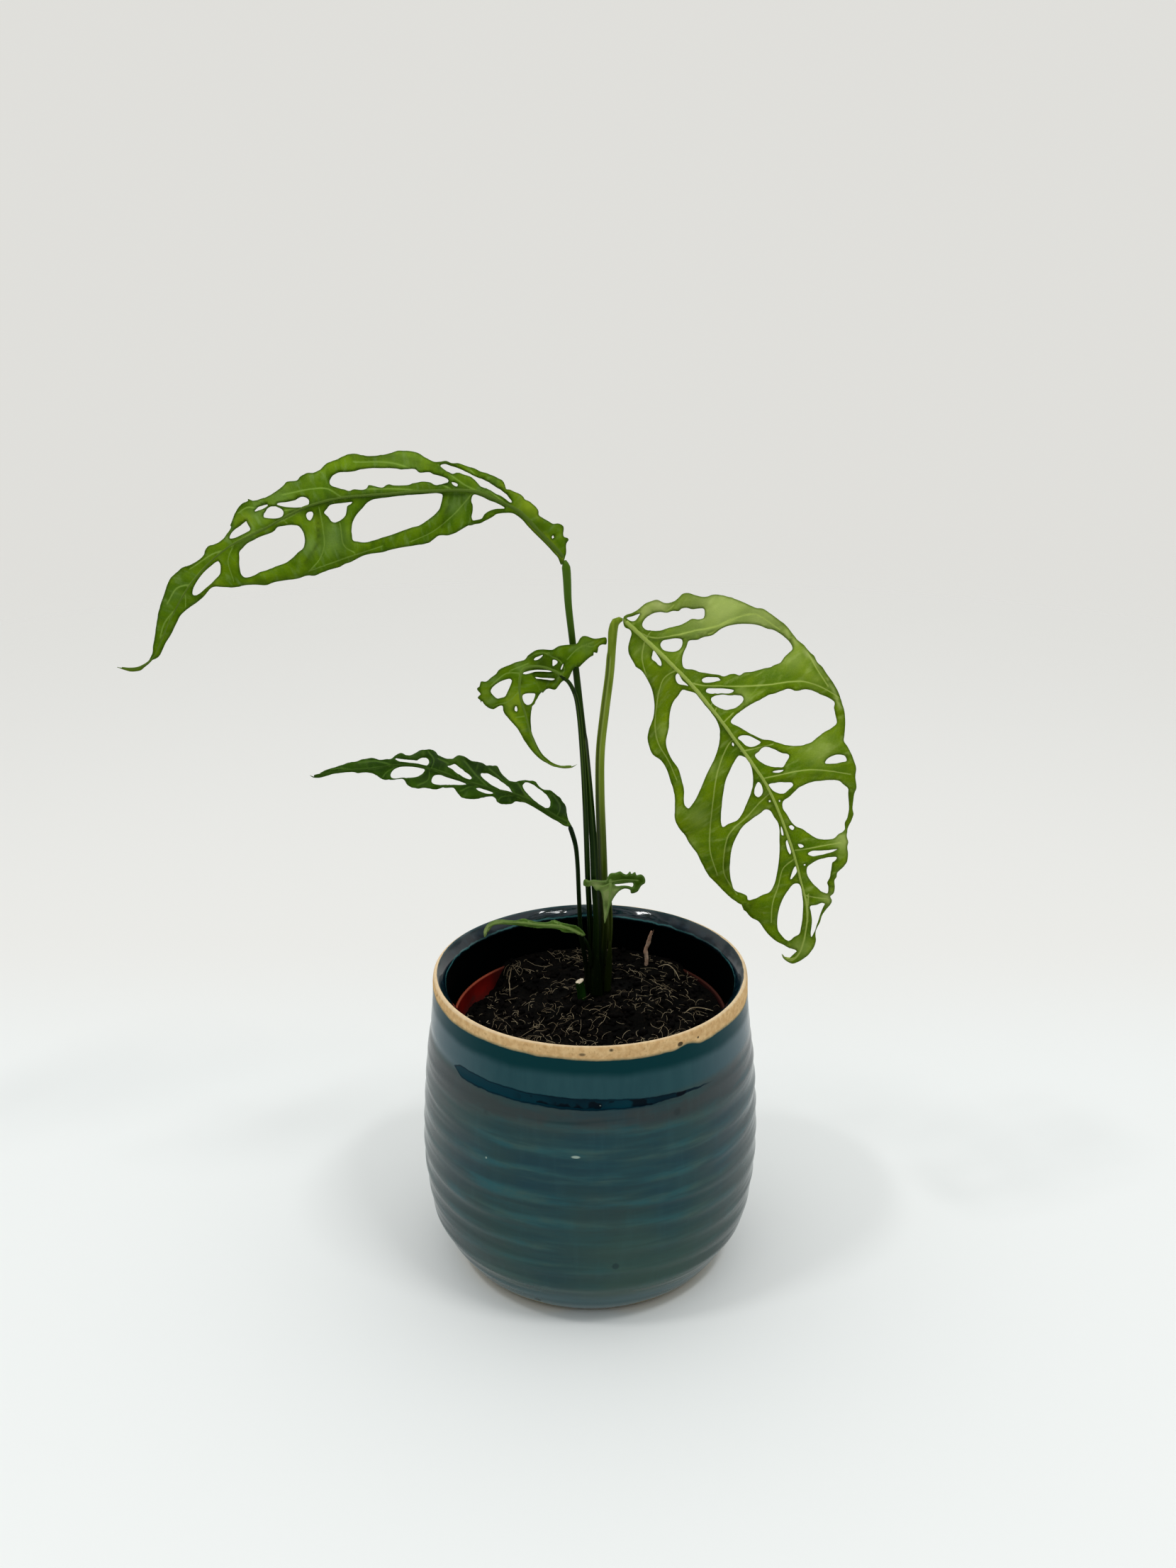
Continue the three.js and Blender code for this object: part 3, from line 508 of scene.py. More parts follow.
def leaf_finish(name, deep, mid, sheen, vein, tip, rim):
    """Thin leaf tissue: pale veins with painted shade beside them, soft patches of painted sheen, painted
    shade under folds, a thin rim line.
    """
    finish = Finish(name, Specular_IOR_Level=0.05)
    blade = finish.node("UVMap", {"uv_map": "blade"})
    ribbed = finish.attribute("vein")
    margin = finish.attribute("margin")
    cloud = finish.noise(48, 4)
    plume = finish.noise(6.5, 5, (3.2, 1, 1), blade)
    moved = finish.node("Mapping", {}, {"Vector": blade, "Location": (3, 5, 2)})
    shade = finish.noise(5, 4, (2.4, 1, 3), moved)
    veinlet = finish.cells(0.9 / MM).rise(0.11, 0.03)
    shade_tint = srgb(22, 44, 4)
    colour = finish.mix(cloud.rise(0.34, 0.66) * 0.6 + shade.rise(0.4, 0.6) * 0.4, deep, mid)
    # Painted sheen: soft lighter patches where the glossy blade reflects the ceiling.
    colour = finish.mix(plume.rise(0.5, 0.72) * 0.5, colour, sheen)
    # Painted sheen where parts of the blade face the ceiling lights.
    colour = finish.mix(finish.attribute("painted_sheen"), colour, sheen)
    colour = finish.mix(veinlet * 0.1, colour, vein)
    # Painted shade beside the rib and the veins, where the tissue dips.
    colour = finish.mix(finish.attribute("beside") * 0.5, colour, deep)
    # Pale marks: partly the leaf's own yellowish tips and folds, partly painted light where the blade faces
    # the ceiling.
    colour = finish.mix(finish.attribute("pale"), colour, tip)
    colour = finish.mix(ribbed.rise(0.42, 0.8) * 0.85, colour, vein)
    # Painted shade under folds and the rib; less light is let through there as well.
    colour = finish.mix(finish.attribute("dark") * 0.75, colour, shade_tint)
    colour = finish.mix((1 - margin.rise(0.02, 0.3)) * 0.6, colour, rim)
    finish.set(Base_Color=colour, Roughness=0.36 + cloud * 0.16 + veinlet * 0.05)
    finish.bump(veinlet * -0.5 + finish.noise(700, 3) * 0.5 + cloud * 0.8, 0.07)
    glow = Vector(deep).lerp(Vector(mid), 0.5).lerp(Vector(srgb(150, 190, 0)), 0.45)
    finish.shine_through(glow, 0.22 - finish.attribute("dark") * 0.1)
    return finish


# Meshes


def add_piece(name, source, finishes, slot, *nodes):
    """Make an object of a bmesh or mesh that rides on the body and stands for the nodes."""
    mesh = source
    if isinstance(source, bmesh.types.BMesh):
        mesh = bpy.data.meshes.new(name)
        source.to_mesh(mesh)
        source.free()
    for finish in finishes:
        mesh.materials.append(finish.material)
    mesh.shade_smooth()
    piece = bpy.data.objects.new(name, mesh)
    scene.collection.objects.link(piece)
    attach(piece, BODY)
    if nodes:
        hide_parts(*nodes)
    return piece


def turned(profile, steps, closed=False):
    """Spin a list of (radius, height) in millimetres once round the Z axis."""
    shape = bmesh.new()
    corners = [shape.verts.new((radius * MM, 0, height * MM)) for radius, height in profile]
    edges = [shape.edges.new(pair) for pair in zip(corners, corners[1:])]
    if closed:
        edges.append(shape.edges.new((corners[-1], corners[0])))
    bmesh.ops.spin(shape, geom=corners + edges, cent=(0, 0, 0), axis=(0, 0, 1),
                   angle=math.tau, steps=steps, use_merge=True, use_duplicate=False)
    bmesh.ops.remove_doubles(shape, verts=shape.verts, dist=0.01 * MM)
    bmesh.ops.recalc_face_normals(shape, faces=shape.faces)
    return shape


def tube(shape, path, radius, sides=12, front=Vector((0, -1, 0)), marks=()):
    """Extrude a ring along a path. radius gives metres for a share of the length and an angle."""
    turn = shape.verts.layers.float.get("turn") or shape.verts.layers.float.new("turn")
    known = shape.verts.layers.float
    layers = [known.get(name) or known.new(name) for name, _ in marks]
    ring = bmesh.ops.create_circle(shape, segments=sides, radius=1)["verts"]
    for corner in ring:
        corner[turn] = math.atan2(corner.co.y, corner.co.x)
    edges = list({edge for corner in ring for edge in corner.link_edges})
    foot = list(edges)
    spans = [(b - a).length for a, b in zip(path, path[1:])]
    length, travelled = sum(spans), 0
    for index, centre in enumerate(path):
        if index:
            grown = bmesh.ops.extrude_edge_only(shape, edges=edges)["geom"]
            ring = [part for part in grown if isinstance(part, bmesh.types.BMVert)]
            new = set(ring)
            edges = [part for part in grown if isinstance(part, bmesh.types.BMEdge)
                     and part.verts[0] in new and part.verts[1] in new]
            travelled += spans[index - 1]
        before, after = path[max(index - 1, 0)], path[min(index + 1, len(path) - 1)]
        along = (after - before).normalized()
        forward = (front - along * front.dot(along)).normalized()
        right = along.cross(forward)
        share = travelled / length
        for corner in ring:
            angle = corner[turn]
            reach = radius(share, angle)
            corner.co = centre + (forward * math.cos(angle) + right * math.sin(angle)) * reach
            for layer, (_, mark) in zip(layers, marks):
                corner[layer] = mark(share, angle)
    caps = [bmesh.ops.contextual_create(shape, geom=end)["faces"] for end in (foot, edges)]
    return [face for cap in caps for face in cap]


def closed_up(shape):
    bmesh.ops.recalc_face_normals(shape, faces=shape.faces)
    return shape


def angle_between(a, b):
    return abs((a - b + math.pi) % math.tau - math.pi)


def bell(value, width):
    return math.exp(-(value / width) ** 2)


# Cover pot

POT_SIDES = 176
POT_OUTSIDE = [
    (50.5, 0), (53.2, 0.45), (55.8, 1.4), (57.8, 2.9), (59.7, 5), (61.8, 8), (64.4, 12.2), (69.9, 22),
    (72.8, 37), (74.1, 57), (73, 82), (70.9, 105), (69.4, 116), (68.5, 125), (68.2, 131),
]
POT_LIP = [(68.1, 134.2), (67.7, 136.2), (67.0, 136.95), (66.3, 136.7), (65.2, 135.75)]
POT_INSIDE = [
    (63.9, 134.4), (62.8, 133.1), (62.3, 131.5), (62.6, 128.4), (64, 118), (65.8, 106), (68, 82),
    (69, 57), (67.8, 37), (64.4, 22), (57.6, 12), (52.2, 8.8), (48, 7.6),
]


def rib_height(z, angle):
    """The throwing rib at a height in millimetres and an angle, from 0 to 1."""
    turns = (angle + math.pi / 2) / math.tau
    phase = (z - THROWING_CREST) / THROWING_PITCH + turns + 0.06 * math.sin(3 * angle + z * 0.05)
    wave = 0.5 + 0.5 * math.cos(math.tau * phase)
    return wave ** 1.15


def cover_pot():
    """Spin the pot's profile, then raise the ribs, press the groove and let it wander a little."""
    outside = flowing(POT_OUTSIDE, 0.75)
    lip = flowing([POT_OUTSIDE[-1], *POT_LIP, POT_INSIDE[0]], 0.45)
    inside = flowing(POT_INSIDE, 1.6)
    profile = [(0, 0), (25, 0), (46, 0), *outside, *lip[1:-1], *inside, (30, POT_FLOOR), (0, POT_FLOOR)]
    shape = turned(profile, POT_SIDES)
    for name in ("ridge", "inner"):
        shape.verts.layers.float.new(name)
    ridge, inner = (shape.verts.layers.float[name] for name in ("ridge", "inner"))
    for corner in shape.verts:
        x, y, z = corner.co / MM
        radius = math.hypot(x, y)
        if radius < 40:
            corner[inner] = 1 if z > POT_FLOOR / 2 else 0
            continue
        angle = math.atan2(y, x)
        outer = z < 7 or radius > 66.2 or (z < 20 and radius > 57 + (z - 10) * 0.8)
        rib = rib_height(z, angle)
        band = smoothstep(z, 3, 14) * (1 - smoothstep(z, 104, 112))
        strength = 0.65 + 0.8 * noise.noise(Vector((x, y, z * 2.2)) * 0.022)
        swell = (rib - 0.5) * 0.6 * band * max(strength, 0.15)
        swell += 0.16 * noise.noise(Vector((angle * 2.2, z * 0.42, 7))) * band
        groove = 0.35 * bell(z - 110.6 + 1.8 * x / radius, 2.4)
        hand = 0.35 * math.sin(2 * angle + 0.6) + 0.18 * math.sin(5 * angle)
        hand *= smoothstep(z, 20, 90)
        if not outer:
            swell, groove = swell * 0.3, 0
        reach = (radius + swell - groove + hand) / radius
        corner.co.x *= reach
        corner.co.y *= reach
        corner.co.z += 0.35 * MM * math.sin(angle * 2 + 1.1) * smoothstep(z, 100, 137)
        corner[ridge] = rib * band if outer else 0
        corner[inner] = 1 - smoothstep(radius, 66, 66.5) if z > 100 else 1 - outer
    add_piece("thrown_cover_pot", shape, [glaze_finish()], "glazed_stoneware", "cover_pot")


def nursery_pot(finish):
    """The thin-walled pot that holds the mix, with its rim band."""
    rim, top, wall = NURSERY_RIM_RADIUS, NURSERY_RIM_HEIGHT, NURSERY_WALL
    band = top - NURSERY_RIM_BAND
    shoulder = rim - 2.5
    foot = NURSERY_BASE_RADIUS
    floor = NURSERY_BASE + wall + 0.4
    profile = [
        (foot - 5, NURSERY_BASE), (foot - 0.8, NURSERY_BASE), (foot, NURSERY_BASE + 0.8),
        (50, NURSERY_BASE + 46), (shoulder, band - 1.2), (rim - 0.3, band - 0.3), (rim, band + 0.3),
        (rim, top - 0.6), (rim - 0.25, top - 0.12), (rim - wall / 2, top), (rim - wall + 0.2, top - 0.2),
        (rim - wall, top - 0.8), (rim - wall, band + 0.8), (shoulder - wall, band - 1),
        (foot - wall, floor), (foot - 5, floor),
    ]
    shape = turned(profile, NURSERY_SIDES, closed=True)
    floor_disc(shape, foot - 5, NURSERY_BASE, floor - NURSERY_BASE)
    add_piece("moulded_nursery_pot", shape, [finish], "terracotta_plastic", "nursery_pot")


def floor_disc(shape, radius, height, thickness):
    """The base of the nursery pot, pierced with drain holes."""
    def circle(x, y, reach, sides):
        steps = [math.tau * step / sides for step in range(sides)]
        return [Vector((x + reach * math.cos(a), y + reach * math.sin(a))) for a in steps]

    loops = [circle(0, 0, radius, NURSERY_SIDES)]
    for hole in range(DRAIN_HOLES):
        angle = (hole + 0.5) * math.tau / DRAIN_HOLES
        x, y = math.cos(angle) * DRAIN_CIRCLE_RADIUS, math.sin(angle) * DRAIN_CIRCLE_RADIUS
        loops.append(circle(x, y, DRAIN_HOLE_RADIUS, 28))
    places, faces = fill_loops(loops, [])
    corners = [shape.verts.new((place.x * MM, place.y * MM, height * MM)) for place in places]
    sheet = [shape.faces.new([corners[index] for index in face]) for face in faces]
    bmesh.ops.recalc_face_normals(shape, faces=sheet)
    grown = bmesh.ops.extrude_face_region(shape, geom=sheet, use_keep_orig=True)["geom"]
    risen = [part for part in grown if isinstance(part, bmesh.types.BMVert)]
    bmesh.ops.translate(shape, verts=risen, vec=(0, 0, thickness * MM))
    bmesh.ops.recalc_face_normals(shape, faces=list({f for v in corners + risen for f in v.link_faces}))


def run_left(loop):
    """The loop in the order that has its inside on the left."""
    area = sum(a.x * b.y - b.x * a.y for a, b in zip(loop, [*loop[1:], loop[0]]))
    return loop if area > 0 else loop[::-1]


def fill_loops(loops, inner):
    """Triangles between an outline, the first loop, and its holes, using the inner points too."""
    places, outlines = [], []
    for loop in loops:
        outlines.append(list(range(len(places), len(places) + len(loop))))
        places += [Vector(place[:2]) for place in run_left(loop)]
    found, _, faces, _, _, within = delaunay_2d_cdt(places + inner, [], outlines, 0, 1e-5, True)
    return found, [face for face, loops_round in zip(faces, within) if loops_round == [0]]


# Soil

HEAPED_OVER_RIM = 1.4
RIGHT_BELOW_RIM = 0.7
SUNK_BELOW_RIM = 8.5
SOIL_RINGS = 90
SOIL_SIDES = 180
CRUMB_SEED = 11
FIBRE_SEED = 23
CRUMB_BATCHES = 14
CRUMBS_IN_BATCH = 75
FIBRES = 760
FIBRE_RADIUS = 0.075
FIBRE_STEPS = 5
SHORT_FIBRE_TINTS = (0, 1, 1, 1, 1, 2, 3, 4, 4, 4, 4)
LONG_FIBRE_TINTS = (0, 3)


def between(angle, first, last):
    """1 between two angles and 0 outside them, soft at both ends."""
    soft = 0.1
    fall = smoothstep(angle, last - soft, last + soft)
    return smoothstep(angle, first - soft, first + soft) * (1 - fall)


def heaped_back(x, y):
    """Where the mix lies over the rim, at the back."""
    return between(math.atan2(y, x), 0.74, 2.36)


def soil_surface(x, y):
    """The height of the loose top: over the rim at the back, sunken beside the wall at the left."""
    angle = math.atan2(y, x)
    turn = angle if angle > -1 else angle + math.tau
    level = soil_height(x, y)
    rim = level + (NURSERY_RIM_HEIGHT + HEAPED_OVER_RIM - level) * heaped_back(x, y)
    rim += (NURSERY_RIM_HEIGHT - RIGHT_BELOW_RIM - rim) * between(turn, -0.25, 0.7)
    rim += (NURSERY_RIM_HEIGHT - SUNK_BELOW_RIM - rim) * between(turn, 2.46, 3.6)
    return level + (rim - level) * smoothstep(math.hypot(x, y), 40, 56)


def soil_top(finish):
    """The body of the mix, filling the nursery pot, with a lumpy top."""
    rings = [(SOIL_RADIUS * (1 - step / SOIL_RINGS), SOIL_LEVEL) for step in range(SOIL_RINGS + 1)]
    floor = NURSERY_BASE + NURSERY_WALL + 0.7
    foot = NURSERY_BASE_RADIUS - NURSERY_WALL - 0.6
    shape = turned([(0, floor), (foot, floor), (SOIL_RADIUS, SOIL_LEVEL - 6), *rings], SOIL_SIDES)
    for corner in shape.verts:
        x, y, z = corner.co / MM
        if z > SOIL_LEVEL - 0.01:
            spread = 1 + (2.4 + 2.9 * heaped_back(x, y)) / SOIL_RADIUS
            x, y = x * spread, y * spread
            lump = noise.fractal(Vector((x, y, 3)) * 0.22, 0.9, 2.1, 5)
            grain = noise.noise(Vector((x, y, 9)) * 1.1)
            rim = 1 - smoothstep(math.hypot(x, y), SOIL_RADIUS, NURSERY_RIM_RADIUS + 1)
            lumps = (1.1 * lump + 0.45 * grain) * (0.4 + 0.6 * rim)
            corner.co = Vector((x, y, soil_surface(x, y) + lumps - 0.4)) * MM
    add_piece("potting_mix", shape, [finish], "potting_soil", "potting_soil")


def spot_on_soil(draw):
    """A place on the mix, out to the rim at the back."""
    angle = draw.uniform(0, math.tau)
    distance = SOIL_RADIUS * math.sqrt(draw.random())
    x, y = distance * math.cos(angle), distance * math.sin(angle)
    spread = 1 + 0.075 * heaped_back(x, y)
    return x * spread, y * spread


def add_crumb(shape, draw):
    """One clod: a squashed ball on the mix, turned at random."""
    x, y = spot_on_soil(draw)
    size = draw.uniform(0.5, 1.5) * (1.5 if draw.random() < 0.12 else 1)
    place = Vector((x, y, soil_surface(x, y) + size * 0.15)) * MM
    squash = Matrix.Diagonal((draw.uniform(0.7, 1.5), draw.uniform(0.6, 1), draw.uniform(0.5, 0.9), 1))
    turn = Matrix.Rotation(draw.uniform(0, math.tau), 4, "Z")
    turn = turn @ Matrix.Rotation(draw.uniform(-0.6, 0.6), 4, "X")
    bmesh.ops.create_icosphere(shape, subdivisions=1, radius=size * MM,
                               matrix=Matrix.Translation(place) @ turn @ squash)


def soil_crumbs(finish):
    """Clods and bits of bark on the heap, made in batches because a large bmesh grows slowly."""
    draw = random.Random(CRUMB_SEED)
    noise.seed_set(CRUMB_SEED)  # noise_vector is offset by the clock otherwise
    mesh = bpy.data.meshes.new("soil_crumbs")
    whole = bmesh.new()
    for _ in range(CRUMB_BATCHES):
        part = bmesh.new()
        for _ in range(CRUMBS_IN_BATCH):
            add_crumb(part, draw)
        for corner in part.verts:
            corner.co += noise.noise_vector(corner.co / MM * 0.9) * 0.35 * MM
        part.to_mesh(mesh)
        part.free()
        whole.from_mesh(mesh)
    whole.to_mesh(mesh)
    whole.free()
    add_piece("soil_crumbs", mesh, [finish], "potting_soil")


def soil_fibres(finishes):
    """Short curled fibres strewn through the top of the mix, thicker in some patches."""
    draw = random.Random(FIBRE_SEED)
    curve = bpy.data.curves.new("soil_fibres", "CURVE")
    curve.dimensions = "3D"
    curve.bevel_depth = FIBRE_RADIUS * MM
    curve.bevel_resolution = 0
    curve.use_fill_caps = True
    strewn = 0
    middle = FIBRE_STEPS / 2
    while strewn < FIBRES:
        x, y = spot_on_soil(draw)
        patch = noise.noise(Vector((x, y, 31)) * 0.07) + 0.25 * noise.noise(Vector((x, y, 5)) * 0.2)
        if patch < draw.uniform(-0.35, 0.3):
            continue
        strewn += 1
        long = draw.random() < 0.07
        heading = draw.uniform(0, math.tau)
        bend = draw.gauss(0, 0.2 if long else 0.3)
        step = draw.uniform(1.2, 2.2) if long else draw.uniform(0.4, 1.15)
        climb = draw.uniform(-0.1, 0.5)
        lift = draw.uniform(0.1, 1.0)
        thick = draw.uniform(0.6, 1.35) * (1.7 if draw.random() < 0.05 else 1)
        strand = curve.splines.new("POLY")
        strand.points.add(FIBRE_STEPS)
        strand.material_index = draw.choice(LONG_FIBRE_TINTS if long else SHORT_FIBRE_TINTS)
        for index, point in enumerate(strand.points):
            rise = lift + climb * index * step * 0.6 - 0.07 * (index - middle) ** 2 * step
            if math.hypot(x, y) > SOIL_RADIUS + 2:
                x, y = x * 0.97, y * 0.97
            point.co = (x * MM, y * MM, (soil_surface(x, y) + rise) * MM, 1)
            point.radius = thick * (1 - 0.13 * abs(index - middle))
            x += math.cos(heading) * step
            y += math.sin(heading) * step
            heading += bend + draw.gauss(0, 0.18)
    holder = bpy.data.objects.new("soil_fibres_curve", curve)
    scene.collection.objects.link(holder)
    depsgraph = bpy.context.evaluated_depsgraph_get()
    mesh = bpy.data.meshes.new_from_object(holder.evaluated_get(depsgraph))
    mesh.materials.clear()
    bpy.data.objects.remove(holder)
    add_piece("soil_fibres", mesh, finishes, "root_fibre")


def loose_fibre(name, places, thickness, finish):
    """One of the larger fibres, lying on the mix: its places are (x, y, lift), its ends taper."""
    path = [Vector((x, y, max(soil_height(x, y), soil_surface(x, y)) + thickness + 0.3 + lift)) * MM
            for x, y, lift in places]

    def radius(share, angle):
        return thickness * 0.6 * MM * (0.35 + 0.65 * math.sin(math.pi * share) ** 0.5)

    shape = bmesh.new()
    tube(shape, flowing(path, 0.8 * MM), radius, 8, Vector((0, 0, 1)))
    add_piece(name.replace("root", "loose"), closed_up(shape), [finish], "root_fibre", name)


def twig(finish):
    """A broken twig stuck in the mix, with a splinter at its tip."""
    x, y = 25.6, 42
    foot = soil_height(x, y)
    path = [
        (x, y, foot - 2), (x + 0.3, y + 0.2, foot + 3), (x - 0.2, y + 0.4, foot + 7),
        (x + 1.0, y + 0.5, foot + 10.5), (x + 1.6, y + 0.5, foot + 13.5), (x + 2.4, y + 0.6, foot + 16.5),
    ]
    path = flowing([Vector(place) * MM for place in path], 0.6 * MM)

    def bark(share, angle):
        knot = 0.22 * bell(share - 0.42, 0.05) + 0.18 * bell(share - 0.7, 0.04)
        rough = 0.12 * noise.noise(Vector((math.cos(angle), math.sin(angle), share * 14)) * 1.6)
        return (0.84 + knot + rough) * (1 - 0.5 * smoothstep(share, 0.8, 1)) * MM

    shape = bmesh.new()
    tube(shape, path, bark, 12)
    splinter = [Vector((x + 1.9, y + 0.3, foot + 13.5)) * MM, Vector((x + 2.9, y, foot + 15.6)) * MM,
                Vector((x + 3.4, y, foot + 17.6)) * MM]
    tube(shape, flowing(splinter, 0.5 * MM), lambda share, angle: 0.22 * (1.1 - share) * MM, 7)
    add_piece("broken_twig", closed_up(shape), [finish], "root_fibre", "soil_twig")


# Stalks

SHEATH_HALF_WRAP = 1.15


class Sheath:
    """Two thin wings beside a channel, from the foot of a stalk up to an end."""

    def __init__(self, facing, end, spread=0.75, wing=0.3, depth=0.22):
        self.facing = facing
        self.end = end
        self.spread = spread
        self.wing = wing
        self.depth = depth

    def fade(self, share):
        return 1 - smoothstep(share, self.end - 0.012, self.end + 0.004)

    def edges(self, share, angle):
        nearest = min(angle_between(angle, self.facing + side * self.spread) for side in (-1, 1))
        return bell(nearest, 0.2) * self.fade(share)

    def channel(self, share, angle):
        return bell(angle_between(angle, self.facing), self.spread * 0.6) * self.fade(share)

    def shape(self, share, angle):
        return self.wing * self.edges(share, angle) - self.depth * self.channel(share, angle)


def stalk(name, knots, sheath, finish, slot, swelling=0.0):
    """A petiole: its knots are (place, radius); the swelling is the joint below the blade."""
    rows = flowing([(*place, radius) for place, radius in knots], 1.6 * MM)
    path = [row.to_3d() for row in rows]
    radii = [row[3] for row in rows]

    def radius(share, angle):
        joint = swelling * bell(share - 0.955, 0.022)
        tip = 1 - 0.55 * smoothstep(share, 0.988, 1)
        return value_along(radii, share) * (1 + sheath.shape(share, angle) + joint) * tip

    marks = (("wing", sheath.edges), ("hollow", sheath.channel))
    shape = bmesh.new()
    tube(shape, path, radius, 30, marks=marks)
    add_piece(name.replace("petiole", "stalk"), closed_up(shape), [finish], slot, name)


def seen(rows):
    """Knots from picture places with a depth and a radius in millimetres."""
    return [(sight(px, py, depth), radius * MM) for px, py, depth, radius in rows]


def footed(x, y, z, radius):
    """A knot from a place and a radius in millimetres."""
    return [(Vector((x, y, z)) * MM, radius * MM)]


def stalks(green, pale, dusky):
    left_foot = (-1.3, 13.6)
    left_start = soil_height(*left_foot) - 3
    stalk("petiole_upper_left", footed(2.2, 12.6, 117, 2.3) + footed(2.4, 11.9, 128, 2.2) + footed(
        2.7, 11.7, 140, 1.9) + seen([
        (842, 1300, 11.8, 1.6), (838.5, 1237, 11.8, 1.55), (836, 1180, 11.9, 1.5), (831, 1120, 12, 1.5),
        (824, 1050, 12, 1.5), (818.5, 1000, 12.2, 1.45), (813, 950, 12.4, 1.4), (806.5, 895, 12.4, 1.4),
        (801.5, 850, 12, 1.5), (799.8, 815, 11, 1.7), (798.5, 800, 10.4, 1.75), (796.8, 791.2, 10, 1.6)]),
        Sheath(1.1, 0.62, 0.8, 0.3, 0.2), green, "stalk_green")
    stalk("petiole_right", footed(4.0, 13.6, 117, 1.9) + footed(4.3, 13.4, 126, 2.1) + footed(
        5.2, 14.6, 138, 2.1) + seen([
        (852.5, 1300, 15.3, 1.95), (851, 1237, 15, 1.95), (849, 1180, 14.4, 1.9), (847, 1120, 13.4, 1.8),
        (847.5, 1060, 12, 1.75), (854, 1000, 10, 1.75), (860.5, 950, 8.4, 1.7), (863.5, 910, 7.2, 1.7),
        (865, 888, 6.4, 1.75), (868.5, 877.5, 5.8, 1.7), (874.5, 874, 5.4, 1.6), (878.4, 874.4, 5.2, 1.4)]),
        Sheath(-0.9, 0.905, 0.7, 0.2, 0.14), pale, "stalk_pale", 0.1)
    stalk("petiole_middle", footed(0.6, 15, 120, 1.7) + footed(0.4, 15.2, 140, 1.35) + seen([
        (831.5, 1290, 14.2, 1.15), (829, 1237, 12.6, 1.15), (827, 1180, 10.8, 1.1),
        (824.5, 1120, 9.6, 1.05), (821, 1060, 8.8, 1), (817, 1012, 8.6, 0.95), (812.5, 984, 7.9, 0.9),
        (807, 970, 6.4, 0.9), (801, 961, 4.8, 0.85), (795, 956.5, 4, 0.75), (788, 951, 3.3, 0.5)]),
        Sheath(0.5, 0.93, 0.6, 0.22, 0.16), green, "stalk_green")
    stalk("petiole_lower_left", footed(*left_foot, left_start, 1.05) + seen([
        (828, 1375, 13.5, 1.05), (824, 1345, 13.4, 1), (819.5, 1318, 13, 1), (817, 1272, 12, 0.95),
        (814.5, 1216, 10, 0.95), (812, 1193, 8.6, 1), (808, 1178, 7.4, 1.05), (803.2, 1163.8, 6.3, 1)]),
        Sheath(0.2, 0.9, 0.6, 0.16, 0.12), dusky, "stalk_green")
    stalk("petiole_small_right", seen([
        (854.5, 1362, 12, 0.6), (858, 1350, 11.4, 0.65), (861, 1325, 11.1, 0.8), (861.5, 1295, 10.8, 0.9),
        (860.5, 1272, 9, 0.8), (858.8, 1261.4, 7.6, 0.6)]),
        Sheath(-0.3, 0.95, 0.7, 0.35, 0.3), pale, "stalk_pale")
    stalk("petiole_low_left", seen([
        (834, 1364, 10.9, 0.6), (833, 1350, 10, 0.65), (831, 1338, 9.6, 0.7), (827, 1328, 9.3, 0.65),
        (824.2, 1322, 9.1, 0.5)]),
        Sheath(-0.4, 0.9, 0.7, 0.25, 0.2), green, "stalk_green")


def crown(finish):
    """The short stem, wrapped in the clasping bases of the stalks, with its sheaths."""
    x, y = CROWN_CENTRE
    knots = [
        ((x, y, soil_height(x, y) - 4), 3.3), ((x, y, 122), 3.2), ((x, y, 131), 3.2),
        ((x, y, 138), 2.9), ((x - 0.2, y + 0.3, 145), 1.6), ((x - 0.2, y + 0.4, 149), 0.5),
    ]
    rows = flowing([(*(Vector(place) * MM), radius * MM) for place, radius in knots], 0.8 * MM)
    radii = [row[3] for row in rows]
    folds = (-2.2, -0.95, 0.25, 1.35, 2.7)

    def crease(share, angle):
        return max(bell(angle_between(angle, fold + 0.35 * share), 0.16) for fold in folds)

    def lap(share, angle):
        return max(bell(angle_between(angle, fold + 0.24 + 0.35 * share), 0.12) for fold in folds)

    def radius(share, angle):
        return value_along(radii, share) * (1 - 0.16 * crease(share, angle) + 0.07 * lap(share, angle))

    shape = bmesh.new()
    tube(shape, [row.to_3d() for row in rows], radius, 48, marks=(("wing", lap), ("hollow", crease)))
    add_piece("clasped_crown", closed_up(shape), [finish], "stalk_green", "crown_stem")


def pointed_sheath(name, finish, slot, foot, tip, width, facing):
    """A thin sheath with a pale edge that wraps a stalk's foot and ends in a point."""
    foot, tip = Vector(foot) * MM, Vector(tip) * MM
    shape = bmesh.new()
    wing = shape.verts.layers.float.new("wing")
    shape.verts.layers.float.new("hollow")
    rows, columns = 26, 12
    bmesh.ops.create_grid(shape, x_segments=columns, y_segments=rows, size=1)
    for corner in shape.verts:
        across, up = corner.co.x, (corner.co.y + 1) / 2
        narrow = (1 - up ** 2.2) ** 0.6 if up < 1 else 0
        angle = facing + across * SHEATH_HALF_WRAP * narrow
        spread = width * (0.75 + 0.25 * math.sin(up * 2.6)) * (1 - 0.35 * up)
        centre = foot.lerp(tip, up)
        lean = Vector((math.sin(angle), -math.cos(angle), 0)) * spread * MM
        middle = Vector((math.sin(facing), -math.cos(facing), 0)) * width * 0.6 * up * MM
        corner.co = centre + lean - middle
        corner[wing] = max(abs(across) ** 6, up ** 8)
    piece = add_piece(name, closed_up(shape), [finish], slot)
    shell = piece.modifiers.new("thickness", "SOLIDIFY")
    shell.thickness = 0.3 * MM
    shell.offset = 0


